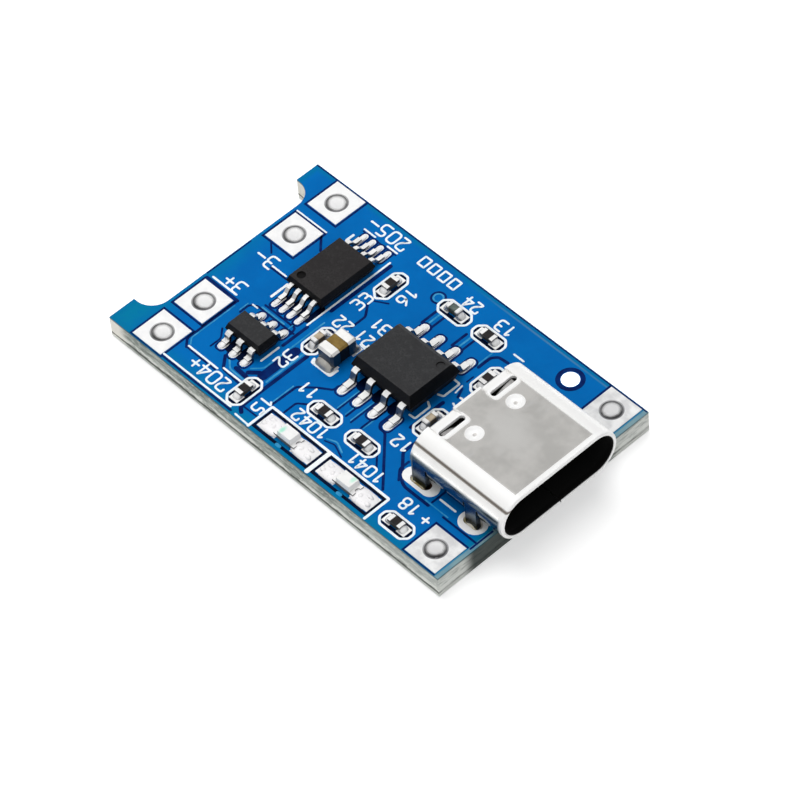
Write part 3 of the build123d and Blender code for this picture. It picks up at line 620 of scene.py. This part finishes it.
# White marks
marks = {"width": 0.15, "stroke": 0.13, "high": 0.018, "low": -0.004, "lift": 0.0015, "cornerCut": 0.36, "corner": 0.1,
         "alongGap": 0.66, "acrossGap": 0.33}
glyphs = {
    # each stroke: whether it is closed, then its points
    "0": [(True, 0, 0, 0.62, 0, 0.62, 1, 0, 1)],
    "1": [(False, 0.12, 0.76, 0.36, 1, 0.36, 0)],
    "2": [(False, 0.02, 0.74, 0.02, 1, 0.6, 1, 0.6, 0.58, 0.02, 0, 0.64, 0)],
    "3": [(False, 0, 1, 0.58, 1, 0.58, 0.54, 0.22, 0.54),
          (False, 0.3, 0.54, 0.62, 0.54, 0.62, 0, 0, 0)],
    "4": [(False, 0.47, 0, 0.47, 1, 0, 0.3), (False, 0, 0.3, 0.66, 0.3)],
    "5": [(False, 0.58, 1, 0.08, 1, 0.05, 0.58, 0.62, 0.6, 0.62, 0, 0, 0)],
    "6": [(False, 0.5, 1, 0.02, 0.6, 0.02, 0, 0.62, 0, 0.62, 0.58, 0.06, 0.58)],
    "7": [(False, 0, 1, 0.62, 1, 0.22, 0)],
    "8": [(True, 0.05, 0.54, 0.05, 1, 0.57, 1, 0.57, 0.54),
          (True, 0, 0.54, 0, 0, 0.62, 0, 0.62, 0.54)],
    "+": [(False, 0, 0.5, 0.6, 0.5), (False, 0.3, 0.2, 0.3, 0.8)],
    "-": [(False, 0, 0.5, 0.62, 0.5)],
    "o": [(True, 0, 0.12, 0.56, 0.12, 0.56, 0.88, 0, 0.88)],
}
strokes = itertools.count(1)  # numbers the strokes, so that each lies a little higher than the last


def stroke(mesh, points, width, closed=False, under=False):
    lift = marks["lift"] * (next(strokes) % 5)
    low, high = marks["low"], marks["high"] + lift
    if under:
        low, high = -boardThickness - marks["high"] / 2 - lift, -boardThickness - marks["low"]
    ribbon(mesh, points, width, low, high, closed)


def writeMark(mesh, text, x, y, height=0.78, turn=180, step=0.86, under=False):
    # x, y is where the first glyph starts on its base line; turn in degrees
    along = Vector((math.cos(math.radians(turn)), math.sin(math.radians(turn))))
    up = Vector((-along.y, along.x)) * (-1 if under else 1)
    for place, glyph in enumerate(text):
        for closed, *points in glyphs[glyph]:
            corner = 0.05 if glyph in "o4" else 0.26
            line = [
                Vector((x, y)) + (along * (point.x + place * step) + up * point.y) * height
                for point in rounded(pairs(points), corner, closed)
            ]
            stroke(mesh, line, marks["stroke"], closed, under)


def partFrame(name, inward=0.0):
    # The eight-sided frame printed round a small part
    lowX, lowY, highX, highY, _, _ = nodeBox(name)
    gapX, gapY, cut = marks["alongGap"] - inward, marks["acrossGap"] - inward, marks["cornerCut"] - inward / 2
    if highY - lowY > highX - lowX:
        gapX, gapY = gapY, gapX
    x0, y0, x1, y1 = lowX - gapX, lowY - gapY, highX + gapX, highY + gapY
    points = [
        (x0 + cut, y0), (x1 - cut, y0), (x1, y0 + cut), (x1, y1 - cut),
        (x1 - cut, y1), (x0 + cut, y1), (x0, y1 - cut), (x0, y0 + cut),
    ]
    if name == "resistor_5_caps":
        # This one is printed with a point at its lower end
        tip = y0 - 0.06 + inward * 0.3
        points[:2] = [((x0 + x1) / 2 - 0.05, tip), ((x0 + x1) / 2 + 0.05, tip)]
    return rounded(points, marks["corner"], True)


smallParts = [f"resistor_{k}_caps" for k in range(1, 8)] + [f"capacitor_{k}_caps" for k in range(1, 4)]


def whiteMarks():
    mesh = bmesh.new()
    for name in smallParts:
        stroke(mesh, partFrame(name), marks["width"], True)
    lines = [
        # lamp frames
        (0.17, 11.85, 0.1, 11.85, 1.99, 21.5, 1.99, 21.5, 0.1), (0.30, 16.70, 0.16, 16.70, 1.9),
        # beside the switch chip
        (0.12, 8.79, 7.5, 8.79, 14.05), (0.17, 5.68, 7.55, 5.68, 8.8), (0.12, 5.8, 14.83, 6.7, 14.83),
        (0.12, 7.75, 14.83, 8.55, 14.83), (0.17, 5.66, 13.5, 5.66, 14.05), (0.10, 5.35, 6.38, 5.75, 6.38),
        (0.13, 8.85, 3.85, 8.85, 5.2),
        # brackets at the charger chip's end
        (0.14, 17.88, 10.52, 18.32, 10.5, 18.32, 9.25, 17.98, 9.12),
        (0.14, 17.98, 8.35, 18.32, 8.15, 18.32, 7.0, 17.9, 6.98),
        # bulk capacitor brackets
        (0.17, 10.95, 6.05, 11.02, 5.8, 12.53, 5.8, 12.56, 6.35), (0.14, 12.1, 8.6, 12.6, 8.55, 12.6, 8.1),
        # rules beside the battery terminals
        (0.11, 1.85, 13.1, 4.35, 13.1), (0.12, 4.0, 9.17, 5.15, 9.17), (0.14, 2.1, 6.22, 4.1, 6.22),
        (0.13, 5.0, 1.73, 7.45, 1.73), (0.13, 7.7, 2.0, 9.15, 2.0), (0.13, 4.4, 0.34, 10.1, 0.36),
        (0.12, 10.7, 0.18, 11.75, 0.14),
        # small ones near the socket
        (0.13, 19.0, 14.17, 19.75, 14.17), (0.2, 20.2, 5.02, 20.26, 5.02), (0.13, 23.6, 3.95, 24.8, 3.95),
        (0.10, 18.53, 10.5, 18.62, 9.9),
    ]
    for width, *line in lines:
        stroke(mesh, rounded(pairs(line), 0.1), width)
    tall, small = 0.92, 0.78
    labels = [
        # text, place of its first glyph, height, turn in degrees and step, where they aren't the usual ones
        ("205-", 8.6, 16.0, tall), ("oooo", 12.95, 15.95, tall, 180, 0.9), ("24", 15.2, 15.5), ("13", 17.8, 15.55),
        ("16", 11.05, 13.5, small, -90), ("33", 10.15, 10.35, small, 90), ("22", 10.85, 9.35), ("21", 12.5, 9.45),
        ("31", 12.55, 10.7), ("32", 9.35, 5.5, small, -90), ("15", 10.95, 2.25, small, -90), ("11", 13.0, 4.6),
        ("12", 19.7, 5.6), ("1042", 15.6, 3.0), ("1041", 20.2, 3.0), ("18", 23.3, 2.8), ("+", 24.3, 2.75),
        ("3-", 4.0, 9.75, tall), ("3+", 4.1, 7.15, tall), ("204+", 8.9, 1.6, tall), ("17", 19.1, 10.1, small, -90),
    ]
    for label in labels:
        writeMark(mesh, *label)
    makePiece("whiteMarks", mesh, "ink")


chipFeet = {
    # pitch, count, land's outer reach, land length, land width, puddle height, reach of the painted shade
    "charger_chip": (1.27, 4, 3.55, 1.35, 0.56, 0.17, 0.62),
    "switch_chip": (0.65, 4, 3.8, 1.1, 0.38, 0.11, 1.15),
    "guard_chip": (0.95, 3, 1.825, 0.8, 0.52, 0.15, 0.85),
}

# Gaps between the copper areas, seen through the mask as dark lines, with a few dark lines that are painted shadows
# beside parts, and thin painted highlights along the tracks
tracks = {
    "high": 0.006, "low": -0.004, "laneHigh": 0.009, "paintedShadeHigh": 0.011, "lift": 0.0005, "corner": 0.15,
    "padMargin": 0.1, "padLine": 0.13, "landMargin": 0.07, "landLine": 0.11, "holeRadius": 0.735,
    "inset": 0.2, "insetLine": 0.24, "lampHalf": (2.2, 0.74), "lampLine": 0.2, "via": (12.76, 14.15),
}


def padOutline(name, openEnd=False):
    # The corners of a line round a terminal's land, clear of it but for an open end at its +X side
    lowX, lowY, highX, highY, _, _ = nodeBox(name)
    gap = tracks["padMargin"]
    farX = highX if openEnd else highX + gap
    return [(farX, lowY - gap), (lowX - gap, lowY - gap), (lowX - gap, highY + gap), (farX, highY + gap)]


def chipColumns(chip):
    # The middle of each land of one row of feet, and the chip's middle line
    pitch, feet = chipFeet[chip][:2]
    middleX, middleY = nodeCentre(chip + "_body")
    return [middleX + (index - (feet - 1) / 2) * pitch for index in range(feet)], middleY


def maskGaps():
    mesh = bmesh.new()
    lines = [
        # battery terminals
        (0.16, 4.3, 12.75, 5.15, 11.9), (0.11, 2.4, 10.5, 3.2, 9.8), (0.13, 4.0, 9.03, 5.35, 9.03),
        (0.16, 1.9, 12.98, 4.35, 12.98), (0.20, 1.85, 5.96, 4.5, 5.96), (0.17, 4.49, 5.9, 4.49, 2.05, 4.95, 1.58),
        (0.12, 4.95, 1.6, 7.4, 1.58), (0.10, 1.62, 9.6, 1.62, 6.2), (0.12, 1.9, 0.05, 4.3, 0.05),
        # guard chip
        (0.20, 7.05, 2.7, 7.7, 1.95, 9.1, 1.87), (0.30, 8.2, 2.5, 9.1, 2.45), (0.62, 9.76, 5.7, 9.76, 3.1),
        (0.30, 9.45, 3.2, 8.95, 2.75), (0.26, 10.52, 5.9, 10.52, 0.75, 10.85, 0.5), (0.12, 10.7, 0.88, 11.7, 0.9),
        (0.22, 8.9, 7.4, 8.9, 5.5), (0.14, 5.22, 5.5, 5.22, 6.2, 5.6, 6.5, 8.7, 6.5),
        (0.14, 5.9, 6.86, 8.45, 6.86, 8.6, 6.4), (0.12, 5.9, 2.6, 5.9, 3.4, 5.4, 3.95),
        # switch chip and the middle
        # painted shadow: the short line from (10.25, 11.42), beside the pointed end of resistor 5's frame
        (0.16, 10.1, 11.05, 10.75, 10.25, 10.75, 9.15), (0.12, 10.25, 11.42, 11.0, 11.85),
        # painted shadow: the wide line at x 9.0, beside the switch chip
        (0.26, 9.0, 13.9, 9.0, 9.2), (0.10, 5.85, 14.68, 8.6, 14.68),
        # charger chip
        (0.16, 13.45, 5.62, 13.45, 5.25, 12.7, 4.75, 11.75, 3.95, 11.7, 2.1),
        (0.14, 13.15, 3.5, 12.62, 3.1, 12.62, 2.15), (0.13, 14.68, 6.3, 14.68, 4.42),
        (0.13, 15.37, 6.3, 15.37, 4.42), (0.13, 15.9, 6.3, 15.9, 4.3), (0.13, 16.62, 6.3, 16.62, 4.42),
        (0.17, 17.15, 6.2, 17.15, 5.4, 17.4, 5.12, 17.85, 5.12, 20.75, 2.22), (0.12, 18.65, 3.75, 19.3, 3.1),
        (0.20, 19.62, 6.3, 19.62, 4.85, 21.1, 3.35, 21.5, 3.2, 23.4, 3.2), (0.18, 13.42, 13.35, 13.42, 12.2),
        (0.16, 14.1, 13.35, 14.1, 12.2), (0.18, 15.92, 13.35, 15.92, 12.2), (0.16, 16.6, 13.35, 16.6, 12.2),
        (0.10, 15.8, 2.36, 16.45, 2.56, 17.35, 2.2), (0.20, 19.2, 13.48, 18.5, 13.42, 18.2, 13.05, 18.2, 12.1),
        # painted shadow: the wide line at x 18.62, beside the charger chip
        (0.16, 18.68, 10.35, 18.95, 9.75), (0.10, 18.5, 10.9, 18.5, 11.4), (0.25, 18.62, 8.9, 18.62, 6.4),
        # board rim
        (0.10, 0.06, 16.38, 27.44, 16.38), (0.15, 4.4, 0.19, 10.3, 0.19), (0.12, 27.3, 2.7, 27.3, 4.4),
        # round the socket's legs
        (0.16, 20.35, 4.6, 20.35, 3.9, 20.9, 3.3), (0.14, 23.4, 4.9, 23.4, 3.5), (0.2, 23.6, 4.6, 24.9, 4.6),
        (0.14, 24.6, 3.2, 27.2, 3.2),
    ]
    low, high = tracks["low"], tracks["high"]
    for index, (width, *line) in enumerate(lines):
        ribbon(mesh, rounded(pairs(line), tracks["corner"]), width, low, high + tracks["lift"] * (index % 5))
    for name in terminals:
        openEnd = "input" in name
        ribbon(mesh, padOutline(name, openEnd), tracks["padLine"], low, high, not openEnd)
    for chip, (_, _, reach, length, width, _, _) in chipFeet.items():
        # A dark outline round each land
        columns, middleY = chipColumns(chip)
        half = width / 2 + tracks["landMargin"]
        for x in columns:
            for side in (-1, 1):
                outer, inner = middleY + side * (reach + tracks["landMargin"]), middleY + side * (reach - length)
                outline = [(x - half, outer), (x + half, outer), (x + half, inner), (x - half, inner)]
                ribbon(mesh, rounded(outline, half * 0.9, True), tracks["landLine"], low, high + 0.003, True)
    ribbon(mesh, circle(toolingHole, tracks["holeRadius"]), 0.27, low, high, True)
    ribbon(mesh, circle(tracks["via"], 0.43), 0.13, low, high, True)
    makePiece("maskGaps", mesh, "gap")


def paintedShadeGround():
    # Painted shade: near-black ground inside the printed frames, round the lamps and in the corner under each chip
    mesh = bmesh.new()
    low, high = tracks["low"], tracks["paintedShadeHigh"]
    for name in smallParts:
        ribbon(mesh, partFrame(name, tracks["inset"]), tracks["insetLine"], low, high, True)
    halfX, halfY = tracks["lampHalf"]
    for name in ("lamp_1_base", "lamp_2_base"):
        x, y = nodeCentre(name)
        points = [(x + a * halfX, y + 0.02 + b * halfY) for a, b in ((-1, -1), (1, -1), (1, 1), (-1, 1))]
        ribbon(mesh, points, tracks["lampLine"], low, high, True)
    for chip, (pitch, feet, _, _, width, _, shadeReach) in chipFeet.items():
        lowY = nodeBox(chip + "_body")[1]
        gap = pitch - width * 0.72
        for index in range(feet - (chip != "switch_chip")):
            x = nodeCentre(chip + "_body")[0] + (index + 1 - feet / 2) * pitch
            ribbon(mesh, [(x, lowY + 0.2), (x, lowY - shadeReach + gap / 2)], gap, low, high)
    makePiece("paintedShadeGround", mesh, "paintedShade")


def maskHighlightLanes():
    # Thin lighter lines beside the gaps and round the via, as painted highlights
    mesh = bmesh.new()
    lines = [
        (0.10, 9.37, 8.3, 9.37, 3.6, 8.85, 3.05), (0.13, 10.23, 5.9, 10.23, 3.0),
        (0.11, 7.35, 2.75, 7.98, 2.22, 9.1, 2.2), (0.11, 5.9, 6.62, 7.75, 6.62), (0.07, 14.57, 6.2, 14.57, 4.5),
        (0.07, 15.24, 6.2, 15.24, 4.5), (0.07, 15.78, 6.2, 15.78, 4.4), (0.07, 16.74, 6.2, 16.74, 4.5),
        (0.12, 13.75, 13.3, 13.75, 12.4), (0.12, 16.28, 13.3, 16.28, 12.4),
        (0.10, 15.8, 2.55, 16.4, 2.78, 17.15, 2.45), (0.08, 18.02, 13.35, 18.02, 12.2),
        (0.08, 4.64, 5.6, 4.64, 2.25, 4.98, 1.88), (0.07, 5.08, 5.6, 5.08, 6.25), (0.08, 11.58, 3.85, 11.58, 2.2),
        (0.08, 23.0, 3.36, 24.8, 3.36), (0.08, 8.2, 7.0, 8.2, 6.5),
    ]
    low, high = tracks["low"], tracks["laneHigh"]
    for width, *line in lines:
        ribbon(mesh, rounded(pairs(line), tracks["corner"]), width, low, high)
    ribbon(mesh, circle(tracks["via"], 0.3), 0.1, low, high, True)
    for x in (14.15, 19.2):
        # Light that falls through the lamp on to the mask in front of it
        ribbon(mesh, [(x - 0.12, 0.31), (x + 0.12, 0.31)], 0.22, low, tracks["paintedShadeHigh"] + 0.002)
    makePiece("maskHighlightLanes", mesh, "highlightLane")


print("marks")
whiteMarks()
maskGaps()
paintedShadeGround()
maskHighlightLanes()


# Solder: a crowned blob on a rounded outline, its top drawn towards what it wets
def puddle(mesh, middle, halfX, halfY, low, high, draw=(0, 0), square=2.8, rings=5, sides=20):
    loops = []
    for ring in range(rings):
        turn = ring / rings * math.pi / 2
        shrink, rise = math.cos(turn), math.sin(turn)
        loop = []
        for c, s in turns(sides):
            along = math.copysign(abs(c) ** (2 / square), c) * halfX * shrink + draw[0] * rise
            across = math.copysign(abs(s) ** (2 / square), s) * halfY * shrink + draw[1] * rise
            loop.append(mesh.verts.new(spot(middle[0] + along, middle[1] + across, low + (high - low) * rise)))
        loops.append(loop)
    bridge(mesh, loops, False)
    mesh.faces.new(loops[0][::-1])
    crown = mesh.verts.new(spot(middle[0] + draw[0], middle[1] + draw[1], high))
    for index in range(sides):
        mesh.faces.new((loops[-1][index], loops[-1][(index + 1) % sides], crown))


chipFill = {
    "landLow": -0.01, "landHigh": 0.04, "base": 0.035, "square": 2.3,
    # shares of the land's width and length, how much the width varies, and how far the top is drawn
    "width": 0.9, "vary": 0.08, "length": 0.94, "draw": 0.12,
}


def chipPuddles():
    lands, blobs = bmesh.new(), bmesh.new()
    for chip, (_, _, reach, length, width, height, _) in chipFeet.items():
        columns, middleY = chipColumns(chip)
        for index, x in enumerate(columns):
            for side in (-1, 1):
                outer, inner = reach - width / 2, reach - length + width / 2
                line = [(x, middleY + side * inner), (x, middleY + side * outer)]
                ribbon(lands, line, width, chipFill["landLow"], chipFill["landHigh"])
                squeeze = chipFill["width"] + chipFill["vary"] * math.sin(7 * index + side)
                puddle(
                    blobs, (x, middleY + side * (reach - length / 2)),
                    width / 2 * squeeze, length / 2 * chipFill["length"], chipFill["base"],
                    chipFill["landHigh"] + height, (0, -side * length * chipFill["draw"]), chipFill["square"],
                )
    makePiece("chipLandsRounded", lands, "tin", ("chip_lands",))
    makePiece("chipPuddles", blobs, "solder", ("chip_solder",), 60)


partFill = {
    # half sizes along and across the part, share of its height, and how far the top is drawn
    "reach": 0.27, "half": 0.3, "climb": 0.8, "tug": 0.75, "out": 0.02, "base": 0.035, "square": 2.6,
}
bulkFill = {"half": (0.66, 0.3), "out": 0.05, "base": 0.035, "top": 0.55, "tug": 0.2, "square": 3.5}


def partPuddles():
    # A fillet from each land up the end of its part, drawn to the metal
    mesh, bulkMesh = bmesh.new(), bmesh.new()
    lowX, lowY, highX, highY, _, _ = nodeBox("bulk_capacitor_caps")
    for side, endY in ((-1, lowY), (1, highY)):
        puddle(
            bulkMesh, ((lowX + highX) / 2, endY + side * bulkFill["out"]), *bulkFill["half"],
            bulkFill["base"], bulkFill["top"], (0, -side * bulkFill["tug"]), bulkFill["square"],
        )
    makePiece("bulkPuddles", bulkMesh, "dullSolder", (), 60)
    reach, half, out = partFill["reach"], partFill["half"], partFill["out"]
    for name in smallParts:
        lowX, lowY, highX, highY, _, top = nodeBox(name)
        middleX, middleY = nodeCentre(name)
        for side, endX, endY in ((-1, lowX, lowY), (1, highX, highY)):
            tug = -side * reach * partFill["tug"]
            shape = (middleX, endY + side * out), half, reach, (0, tug)
            if highX - lowX >= highY - lowY:
                shape = (endX + side * out, middleY), reach, half, (tug, 0)
            middle, halfX, halfY, draw = shape
            puddle(mesh, middle, halfX, halfY, partFill["base"], top * partFill["climb"], draw, partFill["square"])
    makePiece("partPuddles", mesh, "solder", ("part_solder",), 60)


lampFill = (
    # out from the lamp's end, share of its width and distance from there, half sizes, heights, draw, squareness
    (0.5, 0.5, 0.0, 0.76, 0.62, 0.03, 0.25, 0.3, 4), (0.95, 0, 0.2, 0.22, 0.17, 0.1, 0.24, 0, 2),
    (0.7, 1, -0.2, 0.3, 0.16, 0.1, 0.29, 0, 2), (0.3, 0, 0.35, 0.2, 0.24, 0.1, 0.30, 0, 2),
)


def lampPuddles():
    # Lumpy solder that swells over each end of a lamp
    mesh = bmesh.new()
    for name in ("lamp_1_contacts", "lamp_2_contacts"):
        lowX, lowY, highX, highY, _, _ = nodeBox(name)
        for side, endX in ((-1, lowX), (1, highX)):
            for out, share, past, halfX, halfY, low, high, draw, square in lampFill:
                middle = (endX + side * out, lowY + (highY - lowY) * share + past)
                puddle(mesh, middle, halfX, halfY, low, high, (-side * draw, 0), square)
    makePiece("lampPuddles", mesh, "white", (), 60)


tailFill = {
    "column": 0.36, "halfX": 0.32, "base": 0.035, "top": 0.17, "draw": 0.08, "square": 2.6,
    # distance from the socket's middle line and half width of each land
    "lands": ((0.25, 0.12), (0.75, 0.12), (1.25, 0.12), (1.75, 0.12), (2.4, 0.24), (3.2, 0.24)),
}


def tailPuddles():
    # Solder over each contact tail behind the socket
    mesh = bmesh.new()
    x, middleY = nodeBox("usb_lands")[0] + tailFill["column"], nodeCentre("usb_lands")[1]
    for offset, half in tailFill["lands"]:
        for side in (-1, 1):
            puddle(
                mesh, (x, middleY + side * offset), tailFill["halfX"], half, tailFill["base"], tailFill["top"],
                (tailFill["draw"], 0), tailFill["square"],
            )
    makePiece("tailPuddles", mesh, "solder", (), 60)


slotFill = {
    # slot centres along the board, half length and half width of the fill
    "columns": ((21.9, 0.98, 0.31), (26.085, 0.63, 0.42)), "offset": 4.32, "sides": 28,
    # how far in and how high the surface is, from the slot's wall to the leg
    "profile": ((1.0, 0.0), (0.86, -0.1), (0.66, -0.16), (0.45, -0.1), (0.3, 0.06), (0.22, 0.24)),
}


def slotMenisci():
    mesh = bmesh.new()
    middleY = nodeCentre("usb_shell")[1]
    profile = slotFill["profile"]
    lower = [(share, -boardThickness - min(height, 0) * 1.5 + 0.02) for share, height in profile[-3::-1]]
    for column, halfX, halfY in slotFill["columns"]:
        for side in (-1, 1):
            loops = []
            for share, height in (*lower, *profile):
                loop = []
                for c, s in turns(slotFill["sides"]):
                    straight = math.copysign(min(abs(c) * 3, 1), c) * (halfX - halfY)
                    y = middleY + side * slotFill["offset"] + s * halfY * share
                    loop.append(mesh.verts.new(spot(column + (straight + c * halfY) * share, y, height)))
                loops.append(loop)
            bridge(mesh, loops)
    makePiece("slotMenisci", mesh, "flux", ("slot_solder",), 60)


springs = {
    "slits": ((22.21, 6.4), (22.21, 10.36)), "width": 0.27, "length": 1.55, "thick": 0.09,
    "top": 3.0, "drop": 0.42, "bend": 1.6, "steps": 8,
}


def slitSprings():
    # The spring strip pressed down inside each slit of the socket's top
    mesh = bmesh.new()
    half, thick = springs["width"] / 2, springs["thick"]
    for x, y in springs["slits"]:
        outward = -1 if y < nodeCentre("usb_shell")[1] else 1
        rows = []
        for index in range(springs["steps"] + 1):
            share = index / springs["steps"]
            along = y + outward * springs["length"] * (0.5 - share)
            height = springs["top"] - springs["drop"] * share ** springs["bend"]
            corners = ((x - half, height), (x + half, height), (x + half, height - thick), (x - half, height - thick))
            rows.append([mesh.verts.new(spot(place, along, level)) for place, level in corners])
        bridge(mesh, rows)
    makePiece("slitSprings", mesh, "plate", (), 40)


print("solder")
slitSprings()
chipPuddles()
partPuddles()
lampPuddles()
tailPuddles()
slotMenisci()


# Underside: gap lines, thin painted highlight lanes, vias and plain signs by the terminals
def underside():
    gapMesh, laneMesh, inkMesh = bmesh.new(), bmesh.new(), bmesh.new()
    low, high = -boardThickness - 0.006, -boardThickness + 0.004
    lines = [
        (0.22, 1.7, 8.2, 5.2, 8.2, 6.0, 7.4, 20.2, 7.4), (0.22, 4.6, 16.2, 4.6, 9.0, 5.4, 8.2),
        (0.22, 4.6, 0.3, 4.6, 6.8, 6.0, 8.2), (0.22, 20.2, 2.9, 20.2, 13.9, 24.4, 13.9),
        (0.22, 24.4, 0.2, 24.4, 3.0, 20.2, 3.0), (0.18, 8.0, 7.4, 9.4, 6.0, 18.6, 6.0),
        (0.18, 9.0, 9.4, 17.0, 9.4, 18.0, 8.4, 18.0, 7.4),
    ]
    for index, (width, *line) in enumerate(lines):
        line, base = pairs(line), low - tracks["lift"] * index
        ribbon(gapMesh, rounded(line, 0.2), width, base, high)
        ribbon(laneMesh, [(x, y + 0.17) for x, y in line[:2]], 0.07, base - 0.004, high)
    for name in terminals:
        ribbon(gapMesh, padOutline(name), tracks["padLine"], low, high, True)
    for x in range(7, 20, 2):
        for y in (3.2, 12.6):
            ribbon(gapMesh, circle((x, y), 0.3, 20), 0.12, low, high, True)
            ribbon(laneMesh, circle((x, y), 0.16, 16), 0.12, low - 0.002, high, True)
    ribbon(gapMesh, circle(toolingHole, tracks["holeRadius"]), 0.2, low, high, True)
    signs = (("+", 5.0, 1.8), ("+", 5.0, 5.0), ("-", 5.0, 12.2), ("-", 5.0, 15.5), ("+", 23.2, 1.8), ("-", 23.2, 15.5))
    for sign in signs:
        writeMark(inkMesh, *sign, 1.1, 0, under=True)
    for x in (8.0, 18.2):
        stroke(inkMesh, [(x, 1.0), (x, 15.4)], 0.15, under=True)
    makePiece("undersideGaps", gapMesh, "gap")
    makePiece("undersideHighlightLanes", laneMesh, "highlightLane")
    makePiece("undersideMarks", inkMesh, "ink")


print("underside")
underside()


# Camera, at the place worked out from the photograph's perspective
camera = {
    "azimuth": 50.85, "elevation": 50.13, "roll": -5.51, "distance": 270.9, "lens": 213.8,
    "target": (14.0, 8.5), "shift": (-1.029, 2.084),
}


def placeCamera():
    azimuth, elevation, roll = (math.radians(camera[key]) for key in ("azimuth", "elevation", "roll"))
    back = Vector((
        math.sin(azimuth) * math.cos(elevation), -math.cos(azimuth) * math.cos(elevation), math.sin(elevation)
    ))
    right = Vector((math.cos(azimuth), math.sin(azimuth), 0))
    up = back.cross(right)
    rolledRight = right * math.cos(roll) + up * math.sin(roll)
    rolledUp = up * math.cos(roll) - right * math.sin(roll)
    eye = spot(*camera["target"]) + (
        back * camera["distance"] - rolledRight * camera["shift"][0] - rolledUp * camera["shift"][1]
    ) * mm
    data = bpy.data.cameras.new("photoCamera")
    data.sensor_width = 36
    data.lens = camera["lens"]
    data.clip_start, data.clip_end = 0.01, 10
    item = addObject("photoCamera", data)
    item.matrix_world = Matrix.Translation(eye) @ Matrix((rolledRight, rolledUp, back)).transposed().to_4x4()
    bpy.context.scene.camera = item


# Studio: a pale floor, soft lamps and a bright room with one grey patch that flat metal mirrors
studio = {
    "floor": 1.2, "floorGap": 0.00003, "floorAlbedo": 0.8, "floorGlow": 0.46,
    "ambient": 0.38, "patchCentre": (-0.497, 0.405, 0.767), "patch": 0.655, "wall": 1.0,
    "patchInner": 12, "patchOuter": 17,
    "key": {"at": (-0.12, 0.05, 0.30), "size": 0.34, "power": 0.89},
    "fill": {"at": (0.18, -0.22, 0.14), "size": 0.2, "power": 0.22},
}


def buildFloor():
    mesh = bmesh.new()
    bmesh.ops.create_grid(mesh, x_segments=1, y_segments=1, size=studio["floor"])
    data = bpy.data.meshes.new("floor")
    mesh.to_mesh(data)
    mesh.free()
    floor = addObject("floor", data)
    floor.location = (0, 0, boardLow.z - studio["floorGap"])
    paper = Finish("floorPaper", Roughness=0.9, Specular_IOR_Level=0.1)
    paper.put("Base Color", (studio["floorAlbedo"],) * 3)
    strength = paper.ray("Camera").most(paper.ray("Glossy")) * studio["floorGlow"]
    glow = paper.add("ShaderNodeEmission", {}, {"Strength": strength})
    both = paper.add("ShaderNodeAddShader", {}, {0: Wire(paper, paper.shader.outputs[0]), 1: glow})
    paper.connect(paper.tree.nodes["Material Output"].inputs["Surface"], both)
    data.materials.append(paper.material)


def buildLamps():
    for name in ("key", "fill"):
        settings = studio[name]
        light = bpy.data.lights.new(name, "AREA")
        light.shape, light.size, light.energy = "DISK", settings["size"], settings["power"]
        item = addObject(name, light)
        item.location = settings["at"]
        item.rotation_mode = "QUATERNION"
        item.rotation_quaternion = Vector(settings["at"]).to_track_quat("Z", "Y")
        item.visible_glossy = False


def buildRoom():
    # White to the camera, a pale wall with the grey patch to mirrors, dim to everything else
    world = bpy.data.worlds.new("room")
    bpy.context.scene.world = world
    world.use_nodes = True
    room = Graph(world.node_tree)
    room.tree.nodes.clear()
    centre = Vector(studio["patchCentre"]).normalized()
    facing = room.add(
        "ShaderNodeVectorMath", {"operation": "DOT_PRODUCT"},
        {0: room.add("ShaderNodeTexCoord", output="Generated"), 1: centre}, output="Value",
    )
    patch = facing.step(*(math.cos(math.radians(studio[key])) for key in ("patchOuter", "patchInner")))
    wall = patch * (studio["patch"] - studio["wall"]) + studio["wall"]
    mirrored = (wall - studio["ambient"]) * room.ray("Glossy").most(room.ray("Transmission")) + studio["ambient"]
    seen = (1 - mirrored) * room.ray("Camera") + mirrored
    background = room.add("ShaderNodeBackground", {}, {"Strength": seen})
    room.connect(room.tree.nodes.new("ShaderNodeOutputWorld").inputs["Surface"], background)


print("studio")
placeCamera()
buildFloor()
buildLamps()
buildRoom()
bpy.context.scene.view_settings.view_transform = "Standard"
